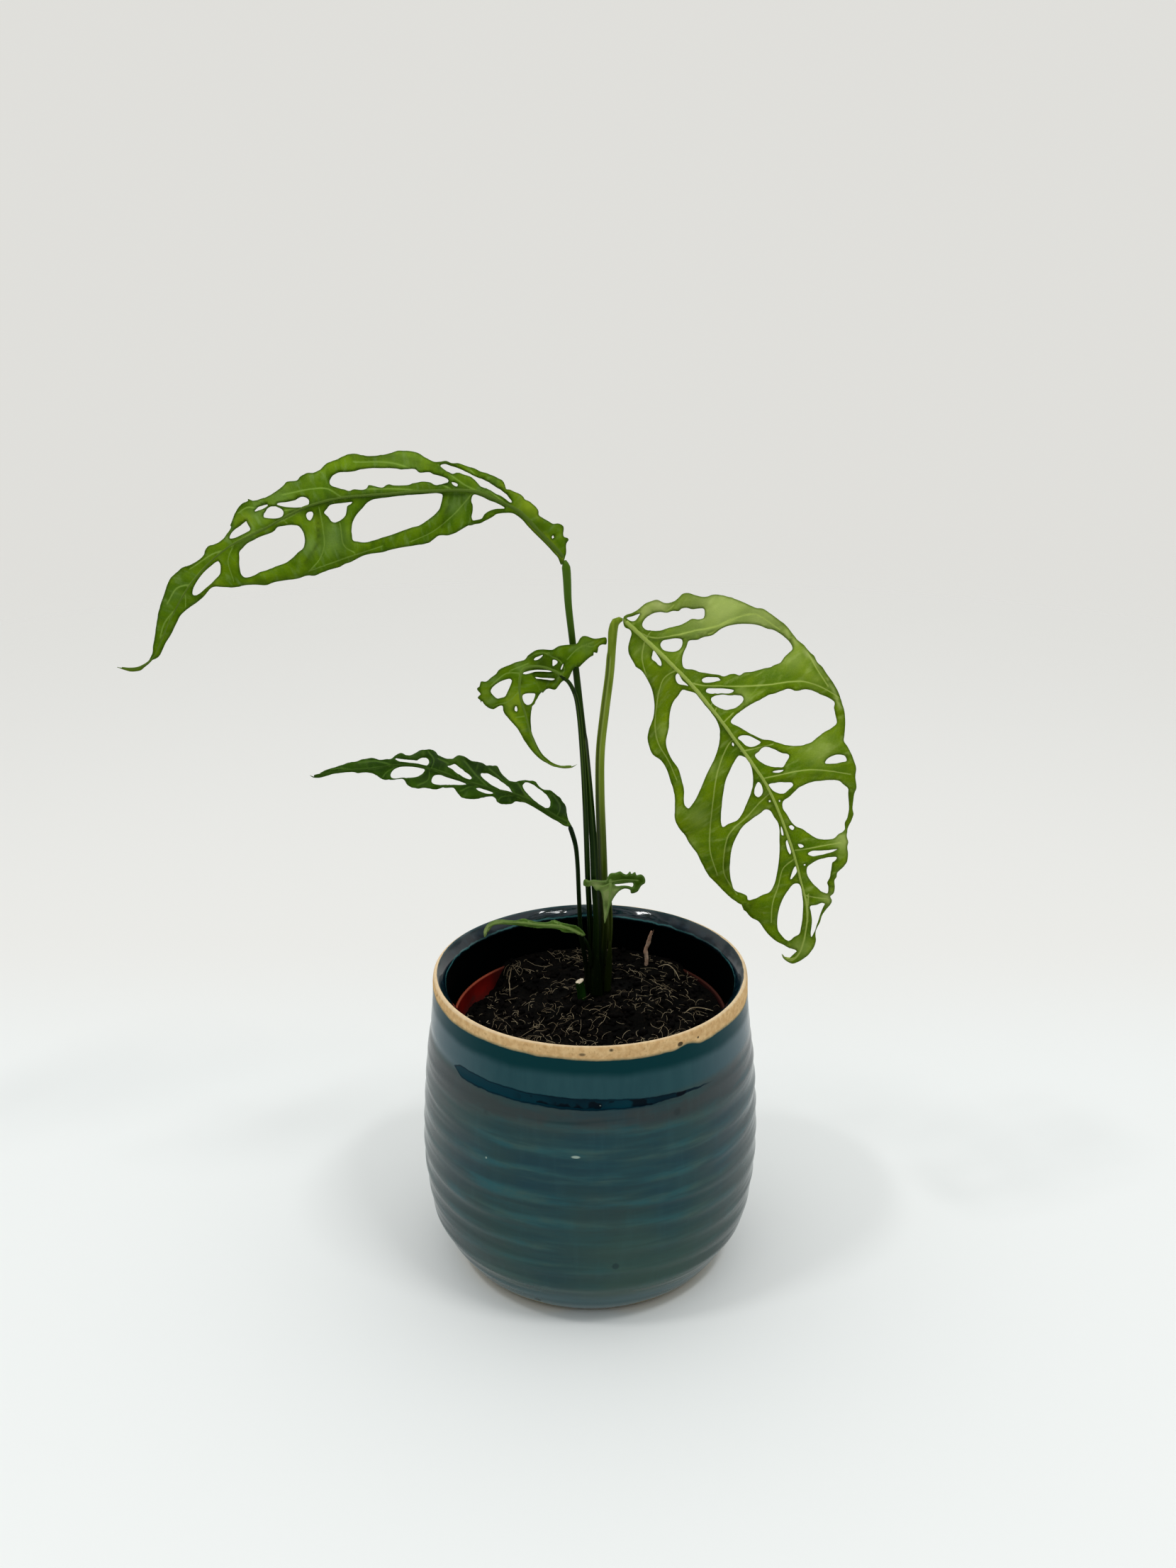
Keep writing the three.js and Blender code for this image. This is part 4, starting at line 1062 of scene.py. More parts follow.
def cut_face_finish():
    finish = Finish("cut_stalk_face", Specular_IOR_Level=0.3, Roughness=0.75)
    ring = finish.noise(500, 3)
    colour = finish.mix(ring.rise(0.35, 0.65), srgb(196, 178, 148), srgb(226, 214, 190))
    fleck = finish.cells(900, feature="F1").rise(0.3, 0.1)
    colour = finish.mix(fleck * 0.5, colour, srgb(140, 112, 80))
    finish.set(Base_Color=colour)
    finish.bump(ring, 0.08)
    return finish


def cut_stub(green):
    """What is left of a cut stalk: its face is stepped in, sunk and tilted."""
    x, y = -4, 9.1
    foot = soil_height(x, y)
    knots = [(x + 0.5, y, foot - 3), (x + 0.1, y, foot + 2), (x - 0.4, y, foot + 5), (x - 0.8, y, foot + 8)]
    path = flowing([Vector(knot) * MM for knot in knots], 0.5 * MM)

    def radius(share, angle):
        flute = 0.035 * math.cos(3 * angle + 0.5) + 0.02 * math.cos(7 * angle)
        return (1.93 - 0.1 * share + flute - 0.12 * smoothstep(share, 0.965, 1)) * MM

    shape = bmesh.new()
    edge = shape.verts.layers.float.new("wing")
    shape.verts.layers.float.new("hollow")
    ends = tube(shape, path, radius, 32)
    top = max(ends, key=lambda face: face.calc_center_median().z)
    for inset, drop in ((0.35, 0.0), (0.3, -0.28), (0.4, 0.05)):
        bmesh.ops.inset_region(shape, faces=[top], thickness=inset * MM, use_even_offset=True)
        bmesh.ops.translate(shape, verts=top.verts, vec=(0, 0, drop * MM))
    centre = top.calc_center_median()
    shape.faces.ensure_lookup_table()
    for face in shape.faces:
        level = face.calc_center_median()
        if level.z > centre.z - 0.6 * MM and abs(face.normal.z) > 0.2:
            face.material_index = 1
    for corner in shape.verts:
        if corner.co.z > centre.z - 0.5 * MM:
            corner.co.z += (corner.co.x - centre.x) * 0.35
            corner[edge] = 0.6
    finishes = [green, cut_face_finish()]
    add_piece("cut_stub", closed_up(shape), finishes, "stalk_green", "cut_petiole_stub")


# Leaves


class Rib:
    """The middle line of a leaf, in picture units with a depth, and what lies nearest on it."""

    def __init__(self, knots):
        self.line = flowing(knots, 1.5)
        self.reach = [0.0]
        for a, b in zip(self.line, self.line[1:]):
            self.reach.append(self.reach[-1] + (b - a).to_2d().length)
        self.tree = tree_of([point.to_2d() for point in self.line])

    def nearest(self, px, py):
        index = self.tree.find((px, py, 0))[1]
        best = None
        for start in (index - 1, index):
            if not 0 <= start < len(self.line) - 1:
                continue
            a, b = self.line[start], self.line[start + 1]
            edge = (b - a).to_2d()
            away = Vector((px - a.x, py - a.y))
            share = min(max(away.dot(edge) / edge.length_squared, 0), 1)
            gap = away - edge * share
            if best is None or gap.length < best[0]:
                side = -1 if edge.x * gap.y - edge.y * gap.x < 0 else 1
                along = self.reach[start] + edge.length * share
                best = (gap.length, side, along, a.z + (b.z - a.z) * share)
        return best


# Marks on the blade: the dark one is painted shade under folds and beside veins, the sheen one is painted
# reflection, and pale is partly the leaf's own colour and partly painted light.
LEAF_MARKS = ("vein", "margin", "beside", "pale", "dark", "painted_sheen")


class Leaf:
    """A thin blade with its perforations, laid in space along its rib."""

    EDGE_STEP = 2.4
    GRID_STEP = 5.2
    VEIN_ROWS = (-2.6, -1.1, 0, 1.1, 2.6)
    THICKNESS = 0.8
    PATTERN_SCALE = 20

    def __init__(self, name, rib, slopes, outline, holes, veins, ripple, pace, cord, crinkle,
                 pale, dark, painted_sheen, strokes, grid=1.0, shaded=0):
        self.name = name
        self.rib = Rib(rib)
        self.slopes = slopes
        self.outline, *self.holes = [
            flowing(points(loop), self.EDGE_STEP * grid, closed=True) for loop in (outline, *holes)]
        self.veins = [flowing(points(vein), 2.6) for vein in veins]
        self.ripple = ripple
        self.pace = pace
        self.cord = cord
        self.crinkle = crinkle
        self.shaded = shaded
        self.grid = grid
        self.spots = {"pale": pale, "dark": dark, "painted_sheen": painted_sheen}
        self.strokes = []
        for kind, reach, amount, line in strokes:
            places = [place.to_2d() for place in flowing(points(line), 2)]
            self.strokes.append((kind, reach, amount, tree_of(places)))

    def inner_points(self, margin):
        """Points along the veins and on an even grid, clear of every edge."""
        kept = self.points_beside_veins(margin)
        veined = tree_of(kept) if kept else None
        step = self.GRID_STEP * self.grid
        xs = [point.x for point in self.outline]
        ys = [point.y for point in self.outline]
        row = 0
        y = min(ys)
        while y < max(ys):
            x = min(xs) + (row % 2) * step / 2
            while x < max(xs):
                clear = margin.find((x, y, 0))[2] > step * 0.55
                if clear and (veined is None or veined.find((x, y, 0))[2] > step * 0.5):
                    kept.append(Vector((x, y)))
                x += step
            y += step * 0.866
            row += 1
        return kept

    def points_beside_veins(self, margin):
        """Rows of points on and beside the rib and the veins, at most one in each square."""
        kept, taken = [], set()
        for line in [self.rib.line[::2], *self.veins]:
            for before, here, after in zip([line[0], *line], line, [*line[1:], line[-1]]):
                along = (after - before).to_2d().normalized()
                across = Vector((-along.y, along.x))
                for offset in self.VEIN_ROWS:
                    place = here.to_2d() + across * offset
                    square = (round(place.x), round(place.y))
                    if square not in taken and margin.find(place.to_3d())[2] > 1.3:
                        taken.add(square)
                        kept.append(place)
        return kept

    def lie(self, px, py, near):
        """Where a picture place of the blade lies in space."""
        distance, side, along, depth = near
        width = distance * MM_PER_PICTURE_UNIT
        slope = self.slopes[0] if side < 0 else self.slopes[1]
        fold = math.sqrt(width * width + 0.8) - math.sqrt(0.8)
        wave = self.ripple * math.sin(along * self.pace * side + side) * min(width / 15, 1)
        return sight(px, py, depth + slope * fold + wave)

    def build(self, finish, slot):
        margin = tree_of([place.to_2d() for loop in [self.outline, *self.holes] for place in loop])
        places, faces = fill_loops([self.outline, *self.holes], self.inner_points(margin))
        used = sorted({index for face in faces for index in face})
        near = {index: self.rib.nearest(*places[index]) for index in used}
        shape = bmesh.new()
        for name in LEAF_MARKS:
            shape.verts.layers.float.new(name)
        corners = self.lay_blade(shape, places, faces, near)
        self.pucker(shape, places, corners, near, margin)
        self.raise_cord(shape, self.spine(corners, places))
        piece = add_piece(self.name.replace("leaf", "blade"), shape, [finish], slot, self.name)
        self.thicken(piece)

    def lay_blade(self, shape, places, faces, near):
        """The blade's faces, laid along the rib and smoothed, facing the viewer."""
        blade = shape.loops.layers.uv.new("blade")
        corners = {index: shape.verts.new(self.lie(*places[index], near[index])) for index in near}
        scale = MM_PER_PICTURE_UNIT * MM * self.PATTERN_SCALE
        for face in faces:
            made = shape.faces.new([corners[index] for index in face])
            for loop, index in zip(made.loops, face):
                distance, side, along, _ = near[index]
                loop[blade].uv = (along * scale, distance * side * scale)
        for _ in range(6):
            bmesh.ops.smooth_vert(shape, verts=shape.verts, factor=0.5, use_axis_y=True)
        bmesh.ops.recalc_face_normals(shape, faces=shape.faces)
        if sum(face.normal.y * face.calc_area() for face in shape.faces) > 0:
            bmesh.ops.reverse_faces(shape, faces=shape.faces)
        shape.normal_update()
        return corners

    def pucker(self, shape, places, corners, near, margin):
        """Sink the veins, swell the tissue between them, flutter the edges, and mark what is where."""
        layers = {name: shape.verts.layers.float[name] for name in LEAF_MARKS}
        side_veins = tree_of([place.to_2d() for line in self.veins for place in line])
        total = self.rib.reach[-1]
        for index, corner in corners.items():
            place = places[index]
            distance, _, along, _ = near[index]
            taper = 1 - 0.72 * min(along / total, 1)
            side_gap = side_veins.find(place.to_3d())[2]
            vein = max(bell(distance, 2.6 * taper + 0.7), 0.9 * bell(side_gap, 1.7))
            rim = margin.find(place.to_3d())[2] * MM_PER_PICTURE_UNIT
            flat = min(distance, side_gap * 1.3) * MM_PER_PICTURE_UNIT
            swell = 0.75 * (1 - bell(flat, 4.2)) * smoothstep(rim, 0, 3)
            flutter = noise.noise(corner.co / MM * 0.13) + 0.5 * noise.noise(corner.co / MM * 0.37)
            flutter *= self.crinkle * (0.35 + 1.3 * bell(rim, 2.2)) * min(flat / 3, 1)
            corner.co += corner.normal * (swell - 0.32 * vein + flutter) * MM
            corner[layers["vein"]] = vein
            corner[layers["margin"]] = min(rim / 4, 1)
            beside = max(bell(distance, 9 * taper + 2), bell(side_gap, 5))
            corner[layers["beside"]] = beside * (1 - vein)
            for kind in self.spots:
                corner[layers[kind]] = self.mark(kind, place)

    def thicken(self, piece):
        """Give the blade its thickness, with the tissue half as thick as the veins."""
        thickness = piece.vertex_groups.new(name="thickness")
        for index, level in enumerate(piece.data.attributes["vein"].data):
            thickness.add([index], 0.5 + 0.5 * min(level.value, 1), "REPLACE")
        shell = piece.modifiers.new("thickness", "SOLIDIFY")
        shell.thickness = self.THICKNESS * MM
        shell.offset = 0
        shell.vertex_group = "thickness"

    def mark(self, kind, place):
        """How strongly the spots and strokes of a kind tint a picture place."""
        found = [bell((place - Vector((x, y))).length, reach) * amount
                 for x, y, reach, amount in self.spots[kind]]
        found += [bell(tree.find(place.to_3d())[2], reach) * amount
                  for stroke, reach, amount, tree in self.strokes if stroke == kind]
        return max(found, default=0)

    def spine(self, corners, places):
        """The final places of the mesh points along the rib."""
        used = list(corners)
        tree = tree_of([places[index] for index in used])
        path = []
        for point in self.rib.line[::3]:
            _, found, gap = tree.find(point.to_2d().to_3d())
            if gap < 3:
                place = corners[used[found]].co.copy()
                if not path or (place - path[-1]).length > 0.5 * MM:
                    path.append(place)
        return path

    def raise_cord(self, shape, path):
        """Raise the rib as a tapering cord on both faces of the blade."""
        spans = [path[max(index - 2, 0):index + 3] for index in range(len(path))]
        smooth = [sum(span, Vector()) / len(span) for span in spans]
        # The cord is darkened with painted shade, as strong as the leaf's shaded amount.
        marks = (("vein", lambda share, angle: 1), ("margin", lambda share, angle: 1),
                 ("dark", lambda share, angle: self.shaded))

        def radius(share, angle):
            return self.cord * MM * (1 - 0.88 * share ** 0.8)

        tube(shape, smooth, radius, 8, marks=marks)


LEAF_UPPER_LEFT = dict(
    rib=[
        (797, 788, 10), (780, 770, 8), (760, 750, 6), (745, 733, 5), (730, 720, 4), (700, 705, 2),
        (670, 693.5, 0), (625, 692, -3), (545, 697, -7), (472, 704, -10), (420, 720, -12),
        (375, 745, -14), (318, 775, -16), (272, 820, -18), (240, 875, -20), (214, 930, -22),
        (190, 944, -22.6), (165, 941.5, -23),
    ],
    slopes=(-0.3, 1.1),
    outline=(
        "798.5,780 798,767 801,761 799.5,758.5 795,757 795,750 796,745 795,741 788,738.5 781,739 "
        "776,736 764,729 759.5,726 759,720 750,709 744,705 740,703.5 738,700.5 728,694.5 719,690 "
        "715,690 712,682 709,677 703,674 690,668 680,665 670,660.5 655,655 648,653 637,652.5 "
        "630,649.5 620,651 613,651 600,645 588,637.5 574,635 562,635.5 545,640 535,641.5 520,642.5 "
        "499,639.5 484,644 475,649 464,652 458,656 450,663 442,666.5 434,667 425,671 419,677 407,679 "
        "400,686 392,692 382,697 372,701 356,705.5 350,703 350,706 343,709 338,714 333,722 330,729 "
        "326.5,738 325.5,740 326.5,743 323,750 318,758 312,763 303,767 295,769 290,775 288,782 "
        "284,787 276,793 268,797 260,799 252,806 243,814 238,823 233,835 229,848 225,863 221,882 "
        "220,895 217,910 215.5,921 211,930 209,935 203,940 190,942.5 175,943 165,941.5 175,945 "
        "183,947 192,947 199,945.5 203,941.8 210,936 213,932 220,929 225,925 230,915 234,906 240,897 "
        "250,877 254,869 261,862 270,855 280,848 288,841 292,836 297,830 303,828 312,828.5 325,829 "
        "335,827.5 348,824.5 360,825 375,826 385,822 400,819 420,816 433,812 445,811.5 464,804 "
        "480,799.5 487,795.5 493,794 510,785 522,781.5 540,779 555,774.5 580,770.5 604,766 610,762 "
        "618,756 624,755 631,755.5 640,753 654,745.5 660,741.5 668,739.5 677,738 685,734 695,729 "
        "700,725.5 710,724 722,724 735,732 745,743 757,755 770,768 780,779 787,787 792,797"
    ),
    holes=[
        "466,683 465,678 468,672 475,668.5 485,667 498,666 508,663 520,661.5 540,661 560,662 565,663 "
        "575,661.5 585,662 592,667 605,667 613,670.5 630,676 633,679.5 628,681.5 620,683.6 614,683.5 "
        "607,680 597,678.5 588,680.5 575,683.5 555,684 549,682.5 545,684 540,687.5 530,686 520,684 "
        "518,688 513,691 500,690 495,691.5 485,690 475,687",
        "637,681 641,681 646,683.5 645,686 641,684.5",
        "621,657 627,655 635,657.5 645,661 655,665 665,669.5 680,677 690,682 700,688 708,693 715,699 "
        "718,704 722,709 720,709 708,700 700,696.5 690,690.5 677,684.5 672,680 665,673 658,669.5 "
        "650,667 644,666 639,668.5 633,666 628,663.5",
        "668,698 680,701 690,706 700,709.5 712,717 700,718 690,721 683,726 680,731 673,733.5 668,734 "
        "665.5,730 667,720 667,712 665,706",
        "498,762 496.5,755 496,745 498,735 503,726 512,716 518,709 525,705 535,703 545,702 560,700 "
        "575,698.5 590,697.5 605,696.5 618,696 624,698 624,703 622,712 620,718 612,727 603,734 "
        "592,741 578,745 565,750 540,758 528,762 515,765 505,764",
        "457,723 460,719 465,713 472,711 482,710 490,709 497,708.5 495,711 490,714 489,721 487,728 "
        "480,734 472,737 467,735.5 463,730",
        "432,726 434,723 440,722 442,725 440,731 437,734 434,732",
        "345,814 340,810 338,803 337,785 337,779 342,773 350,766 358,762 365,758 373,755 383,751.5 "
        "388,748 391,744 400,742 410,741 420,742 426,748 429,755 430,765 428,773 420,780 413,787 "
        "405,793 395,797 375,804.5 367,807 360,811 352,814",
        "272,839 272,832 276,823 282,814 289,806 297,799 303,794 308,791.5 311,795 311.5,803 310,810 "
        "304,817 297,824 290,830 283,836 277,839.5",
        "325,759 326,753 330,748 336,743 342,739 347,735.5 350,740 353,747 347,751 340,754.5 332,758",
        "371,728 374,722 379,716 385,715 393,716 399,720 400,725 396,730 387,731 378,730",
        "359,721 363,716 372,713.5 378,713 370,718",
        "391,711 400,710 410,708 418,704.5 425,701.5 432,703 436,708 434,713 428,715.5 420,716 "
        "410,715.5 400,714",
        "778,757 781,755 782,758 780,760",
    ],
    veins=[
        "450,716 455,742 457,770 450,790 436,806",
        "736,722 700,700 664,664",
        "690,700 655,684 618,656",
        "668,694 640,726 610,750 580,764",
        "640,692 560,655 500,652",
        "600,693 560,690 510,690",
        "482,702 462,690 440,690 400,698",
        "470,704 480,740 486,770 500,780",
        "436,714 400,734 360,750 330,766",
        "330,768 322,790 330,820",
        "318,776 300,782 268,803",
        "270,824 250,830 236,852",
        "262,840 262,856",
        "250,856 232,880 226,900",
        "420,718 380,722 350,716 336,724",
        "400,735 405,738",
        "560,697 500,700 486,704",
        "436,806 480,790 540,770",
    ],
    ripple=2.2, pace=0.075, cord=0.5, crinkle=0.7, shaded=0.7,
    pale=[
        (745, 712, 16, 0.5), (168, 941, 26, 0.55), (345, 735, 12, 0.3), (300, 826, 14, 0.25),
        (446, 740, 10, 0.2),
    ],
    dark=[
        (470, 706, 12, 0.8), (760, 745, 12, 0.5), (650, 697, 16, 0.6), (600, 695, 16, 0.5),
        (735, 728, 10, 0.5), (395, 742, 12, 0.4), (250, 890, 14, 0.35),
    ],
    painted_sheen=[
        (470, 760, 20, 0.55), (436, 770, 12, 0.5), (560, 655, 40, 0.2), (640, 716, 10, 0.5),
        (398, 700, 18, 0.35), (688, 690, 14, 0.4), (350, 764, 12, 0.4), (365, 722, 12, 0.4),
        (250, 840, 10, 0.2),
    ],
    strokes=[
        ("dark", 4.5, 1, "656,697 596,696.5 535,699 484,703.5 447,711.5 410,724"),
        ("dark", 2.6, 0.8, "447,720 449,748 442,780 433,794"),
        ("dark", 2.4, 0.7, "636,700 631,720 624,743"),
        ("dark", 3, 0.8, "614,678 642,687 666,697"),
        ("dark", 3, 0.7, "714,729 745,757 768,785"),
        ("dark", 2.2, 0.6, "410,724 370,745 330,772"),
        ("dark", 3, 0.4, "500,645 560,645 620,662"),
        ("dark", 3.5, 0.5, "360,820 420,812 520,778"),
        ("pale", 5, 0.4, "712,684 738,704 760,730"),
        ("pale", 4, 0.5, "745,742 775,765 793,790"),
    ],
)

LEAF_RIGHT = dict(
    rib=[
        (880, 875, 4.8), (897, 890, 2), (925, 916, -2), (970, 960, -9), (1008, 1005, -15),
        (1050, 1062, -20), (1082, 1109, -23), (1110, 1175, -25), (1129, 1240, -25), (1139, 1292, -23),
        (1127, 1346, -20), (1115, 1355, -19), (1103, 1347, -18.5),
    ],
    slopes=(0.48, 0.4),
    outline=(
        "880,870 893,864 902,858 910,851 918,848 927,846 938,850.5 948,849.5 957,844 963.5,837.6 "
        "971,836.3 980,839 990.5,841.5 998,841 1006,838 1018.8,839 1032,843 1046,848 1059,854 "
        "1067.6,857.5 1075,858 1088,866 1098,873.4 1108.8,882 1117.4,893 1124,901.6 1132,908 "
        "1137,913.5 1143.5,921 1148,924.5 1153,934 1160,940.6 1166,950 1172.7,959 1179,969 1184,980 "
        "1187,990 1190.5,1002 1192,1013 1191.5,1025 1191,1038 1190,1044.7 1195.5,1053 1201,1064 "
        "1205,1075 1207,1082 1206,1096 1207,1109 1204.6,1120 1203,1133 1202.4,1142 1203.7,1147.5 "
        "1201,1157 1197.7,1164 1194.5,1172 1194,1180 1196,1187 1195,1193 1196,1203 1194.4,1213.6 "
        "1190,1221 1183.6,1227.7 1180.3,1232 1180,1236.4 1177,1241 1177.5,1252.6 1175,1260 "
        "1170.6,1264 1173,1268.5 1171.6,1274 1166,1281 1160,1290.6 1156.5,1300 1151,1311 1150,1317.7 "
        "1150.6,1325 1149,1333 1143.5,1341.5 1136,1349 1127,1355.6 1117.4,1359 1110,1356 1104.4,1351 "
        "1102.9,1346 1106.6,1350 1112,1352.5 1115.5,1350 1120.7,1345 1124,1341.5 1115,1338 "
        "1106.6,1334 1096,1328.5 1086,1320 1078.4,1311 1070.8,1300 1060,1291.7 1050,1280 1040.5,1273 "
        "1029.6,1264.6 1020,1255 1010,1245 999.3,1233 990.6,1218 983,1203 973,1189 965.7,1176.7 "
        "957,1166 952,1154 952,1140 952,1125 949.4,1113 946,1101 941.8,1087 936.4,1077 930,1069.6 "
        "921,1063 915.8,1051 913.6,1040 915.8,1027 921,1014 923,999 922.3,985 919,970 912.5,957 "
        "905,946 897.3,939.5 896,937 889.8,925.4 886.5,913.5 888.7,901.6 890.8,893 888.7,888.5 "
        "881,884"
    ),
    holes=[
        "884,872 892,870 903,866 902,868 897,874.5 890,876",
        "906,882 909,874.5 915.8,868.6 923,865 932,863.6 940,864.7 949.4,862 957.6,862 961,858.8 "
        "968,857.5 976.5,859.7 985,859 993,859 994.3,864.7 993,870 986,873.4 976.5,872.3 970,876 "
        "959,881 945,885 932,888.5 920,889.4 910.4,887.5",
        "931.6,910 935,904 943,902 955,901 962,902.6 962.8,907 960,914.6 952.6,918.5 942,918.5 "
        "935,915.6",
        "964.6,941.7 962.4,930 964.6,921 968.5,912.4 972,905 984,903.7 994,899.4 1006,896 1014.4,889 "
        "1024,884 1036,881.6 1050,880.5 1063,881 1074,883.6 1083,887.5 1091.4,889 1103,896 1113,905 "
        "1118,914.6 1112,921 1106.6,926.5 1101,934 1092.5,937.3 1087,940.6 1078.4,942 1068.6,945 "
        "1059,947 1050,948 1043.7,952 1037,950.3 1030,951 1023,954 1012.3,952 1000,950 988.4,948 "
        "977.6,944.3",
        "990,959 995,956 1006,955.5 1014.4,957 1017.3,959 1010,961 999.3,963 991.7,962.3",
        "995.6,974.8 998,971.5 1010,971 1024,971.5 1035,974 1029.6,977 1014.4,978 1001.4,978",
        "1003,985.5 1011,981 1021,980 1030.7,980.6 1039.4,982 1048,983.5 1049,986 1043.7,993.7 "
        "1035,999 1024,1000.6 1012.3,997 1005.3,991.5",
        "1031,1018.6 1036,1011 1049,1001 1061,993.7 1074,987 1086,980.7 1094.7,978.5 1105.5,974 "
        "1115.3,972.7 1120.7,974.8 1128,974 1137,972.5 1146.7,974.8 1159.7,980.7 1169.5,985 "
        "1177.5,991.5 1176.4,998 1178.8,1009 1180.3,1020 1173.8,1026 1164,1031.7 1155.4,1038 "
        "1145.6,1045.7 1132.6,1050 1120.7,1051 1107.7,1050 1096.8,1046.8 1085,1043.6 1075,1042 "
        "1064,1038 1053.5,1032 1042.6,1025",
        "1041,1041 1045,1038 1055.6,1038 1065,1042.4 1073,1047 1069,1051 1061,1054 1052.4,1051.6 "
        "1046,1045.7",
        "1065,1065 1069.7,1061 1075,1055 1082.7,1054 1092.5,1057.7 1102.3,1062.7 1113,1066 "
        "1108.8,1075 1104.4,1081.5 1096.8,1081.5 1086,1080.4 1076,1076 1068.6,1070.7",
        "1088.8,1088.5 1095.8,1086.7 1105.5,1086.2 1101,1089.6 1093.6,1090",
        "1164,1076 1167.3,1070.7 1176,1066 1182.5,1064.6 1192,1067 1194,1073 1186.8,1075 1177,1077",
        "1084.5,1107 1092.5,1105 1105.5,1104.3 1117.4,1104.7 1119,1107 1113,1114.5 1106,1119.5 "
        "1099,1119 1090,1115",
        "1104.4,1140 1104.4,1131 1115,1122.4 1125,1112.7 1138,1105.6 1152,1102 1168.4,1100 "
        "1182.5,1101 1190,1107 1196,1112 1197,1125 1197.7,1140 1195.5,1153 1192,1160.5 1191.6,1170 "
        "1183.6,1175.6 1177,1182 1162,1183.7 1150,1181 1140,1174.6 1131.5,1168.5 1121.8,1164.8 "
        "1115,1157 1110,1148.5",
        "1112.7,1165.8 1116,1164 1120.7,1168 1118.5,1171 1114,1168",
        "1125.7,1191 1130.4,1191 1134,1194.5 1129.4,1196.3",
        "1139.6,1204.5 1143.5,1201 1160,1200 1181,1198 1170.6,1202 1157.6,1206 1146.7,1208",
        "1139,1222 1145.6,1217 1159.7,1210.5 1172.7,1208.5 1180,1209 1179,1214.7 1175,1218 "
        "1172.7,1229 1170.6,1240.7 1167.3,1247 1169,1251.5 1167.4,1260 1160.8,1258 1151,1250.5 "
        "1142.4,1240.7 1138,1231",
        "1142.8,1278.6 1150,1275.4 1159.7,1273 1163,1274.3 1160,1283 1156,1295 1151.5,1306 "
        "1147.8,1316.6 1144.6,1322 1143.6,1316 1144.5,1308 1145.3,1298 1144,1286.5",
        "920,923 919,930 924.5,934 928.8,938.5 933,939 933,934 927.7,925 922,918",
        "953,953.6 956,950 962.4,959 971,967.7 964.6,966.6 958,965 953.7,960",
        "963.5,973 971,974.8 980.8,978 986,984 993.8,993.7 1003.6,1005.6 1010,1014 1015,1026 "
        "1015.5,1040 1013,1054.4 1007,1070.7 999.3,1086 992.8,1101 987.3,1114 980.8,1128 974.3,1137.7 "
        "970,1141 966,1136.6 965,1122.5 964.6,1110.6 961,1098 957,1085 949.4,1074 943,1062 939.6,1049 "
        "941.8,1034 944.4,1016.5 946,1003.5 950,990.5 957,981.8",
        "1033.3,1047 1035.6,1050 1034,1053.6 1032.2,1052",
        "1042,1067 1050,1068 1055.6,1073 1060,1082.6 1062,1093.5 1061.7,1109.5 1058.5,1120.4 "
        "1052.4,1134.5 1046,1148.5 1039.4,1157 1027.4,1161.6 1018.8,1166 1017,1161 1018,1138 "
        "1020.5,1118 1024,1101 1029.6,1088 1035,1077",
        "1064.3,1114 1067.6,1106 1070.4,1103 1074,1107 1076,1116 1074,1121.5 1068.6,1125.4 "
        "1064.7,1121",
        "1080.6,1142 1087,1143.7 1092,1152 1097.5,1160.5 1099.7,1172 1099.5,1183 1099.7,1200.6 "
        "1098,1218 1096,1231 1092.5,1246 1085,1258 1075,1262.4 1063,1269 1055.6,1271 1053.5,1264.6 "
        "1045,1260 1036,1256 1031.8,1245 1029.6,1229 1030,1213.6 1033,1196 1039.4,1181 1049,1166 "
        "1060,1157 1073,1147.5",
        "1101.7,1165.7 1104.2,1171 1105,1179 1102.8,1178",
        "1110,1185 1113,1192 1116,1203 1114.6,1206 1110.6,1198.4 1108.8,1188",
        "1122.4,1222 1124.6,1229 1121.8,1234 1115,1241 1116,1236 1118.6,1228",
        "1119.6,1247 1126,1246.4 1130,1251.5 1132,1263.5 1133,1278.6 1132,1295 1129.5,1309 "
        "1127.4,1317.7 1119.7,1322 1114,1327 1109,1326 1102.3,1319 1097.5,1312 1096.5,1300 1099,1283 "
        "1104.4,1268 1112,1256",
        "1084.5,1129 1087,1128.5 1087.5,1131 1085,1131.5",
        "1098.5,1129 1101,1128.6 1101,1131 1099,1131.3",
        "1133.6,1219 1136,1218.6 1136.4,1221 1134,1221.4",
    ],
    veins=[
        "897,890 923,900 954,896 980,890 1010,884 1036,872 1066,866",
        "955,946 978,964 1019,968 1053,968 1086,966 1114,962 1136,962 1160,970 1184,984",
        "1078,1098 1105,1092 1125,1088 1147,1086 1173,1088 1198,1092",
        "1117,1200 1140,1197 1162,1193 1184,1189",
        "1132,1262 1150,1266 1168,1268",
        "910,903 906,925 908,940 914,960 920,985",
        "954,946 945,950 936,958 931,971 927,990 924.5,1014 925.5,1036 930,1051 943,1073 955,1100",
        "1035,1043 1028,1050 1021,1064 1014,1084 1010,1101 1007,1122 1004,1146 1002,1168 1002,1200 "
        "1012,1234",
        "1085,1120 1071,1133 1053,1153 1036,1168 1027,1181 1021,1211 1022,1233 1040,1262",
        "1120,1212 1105,1225 1098,1250 1090,1275 1088,1300",
        "910,902 935,868 950,854",
        "1000,895 1060,866 1100,888",
        "1130,900 1150,940 1168,968",
        "1008,1005 1020,976",
        "1000,1006 1010,975",
        "1020,1020 1034,1006",
        "1140,1262 1140,1300",
        "1046,1060 1090,1050",
    ],
    ripple=2.4, pace=0.06, cord=0.66, crinkle=0.7,
    pale=[
        (930, 850, 18, 0.75), (912, 862, 14, 0.6), (1000, 856, 60, 0.35), (1080, 876, 50, 0.35),
        (1104, 1348, 8, 0.5), (1190, 1185, 12, 0.3), (1172, 1266, 8, 0.4), (1155, 910, 6, 0.3),
    ],
    dark=[
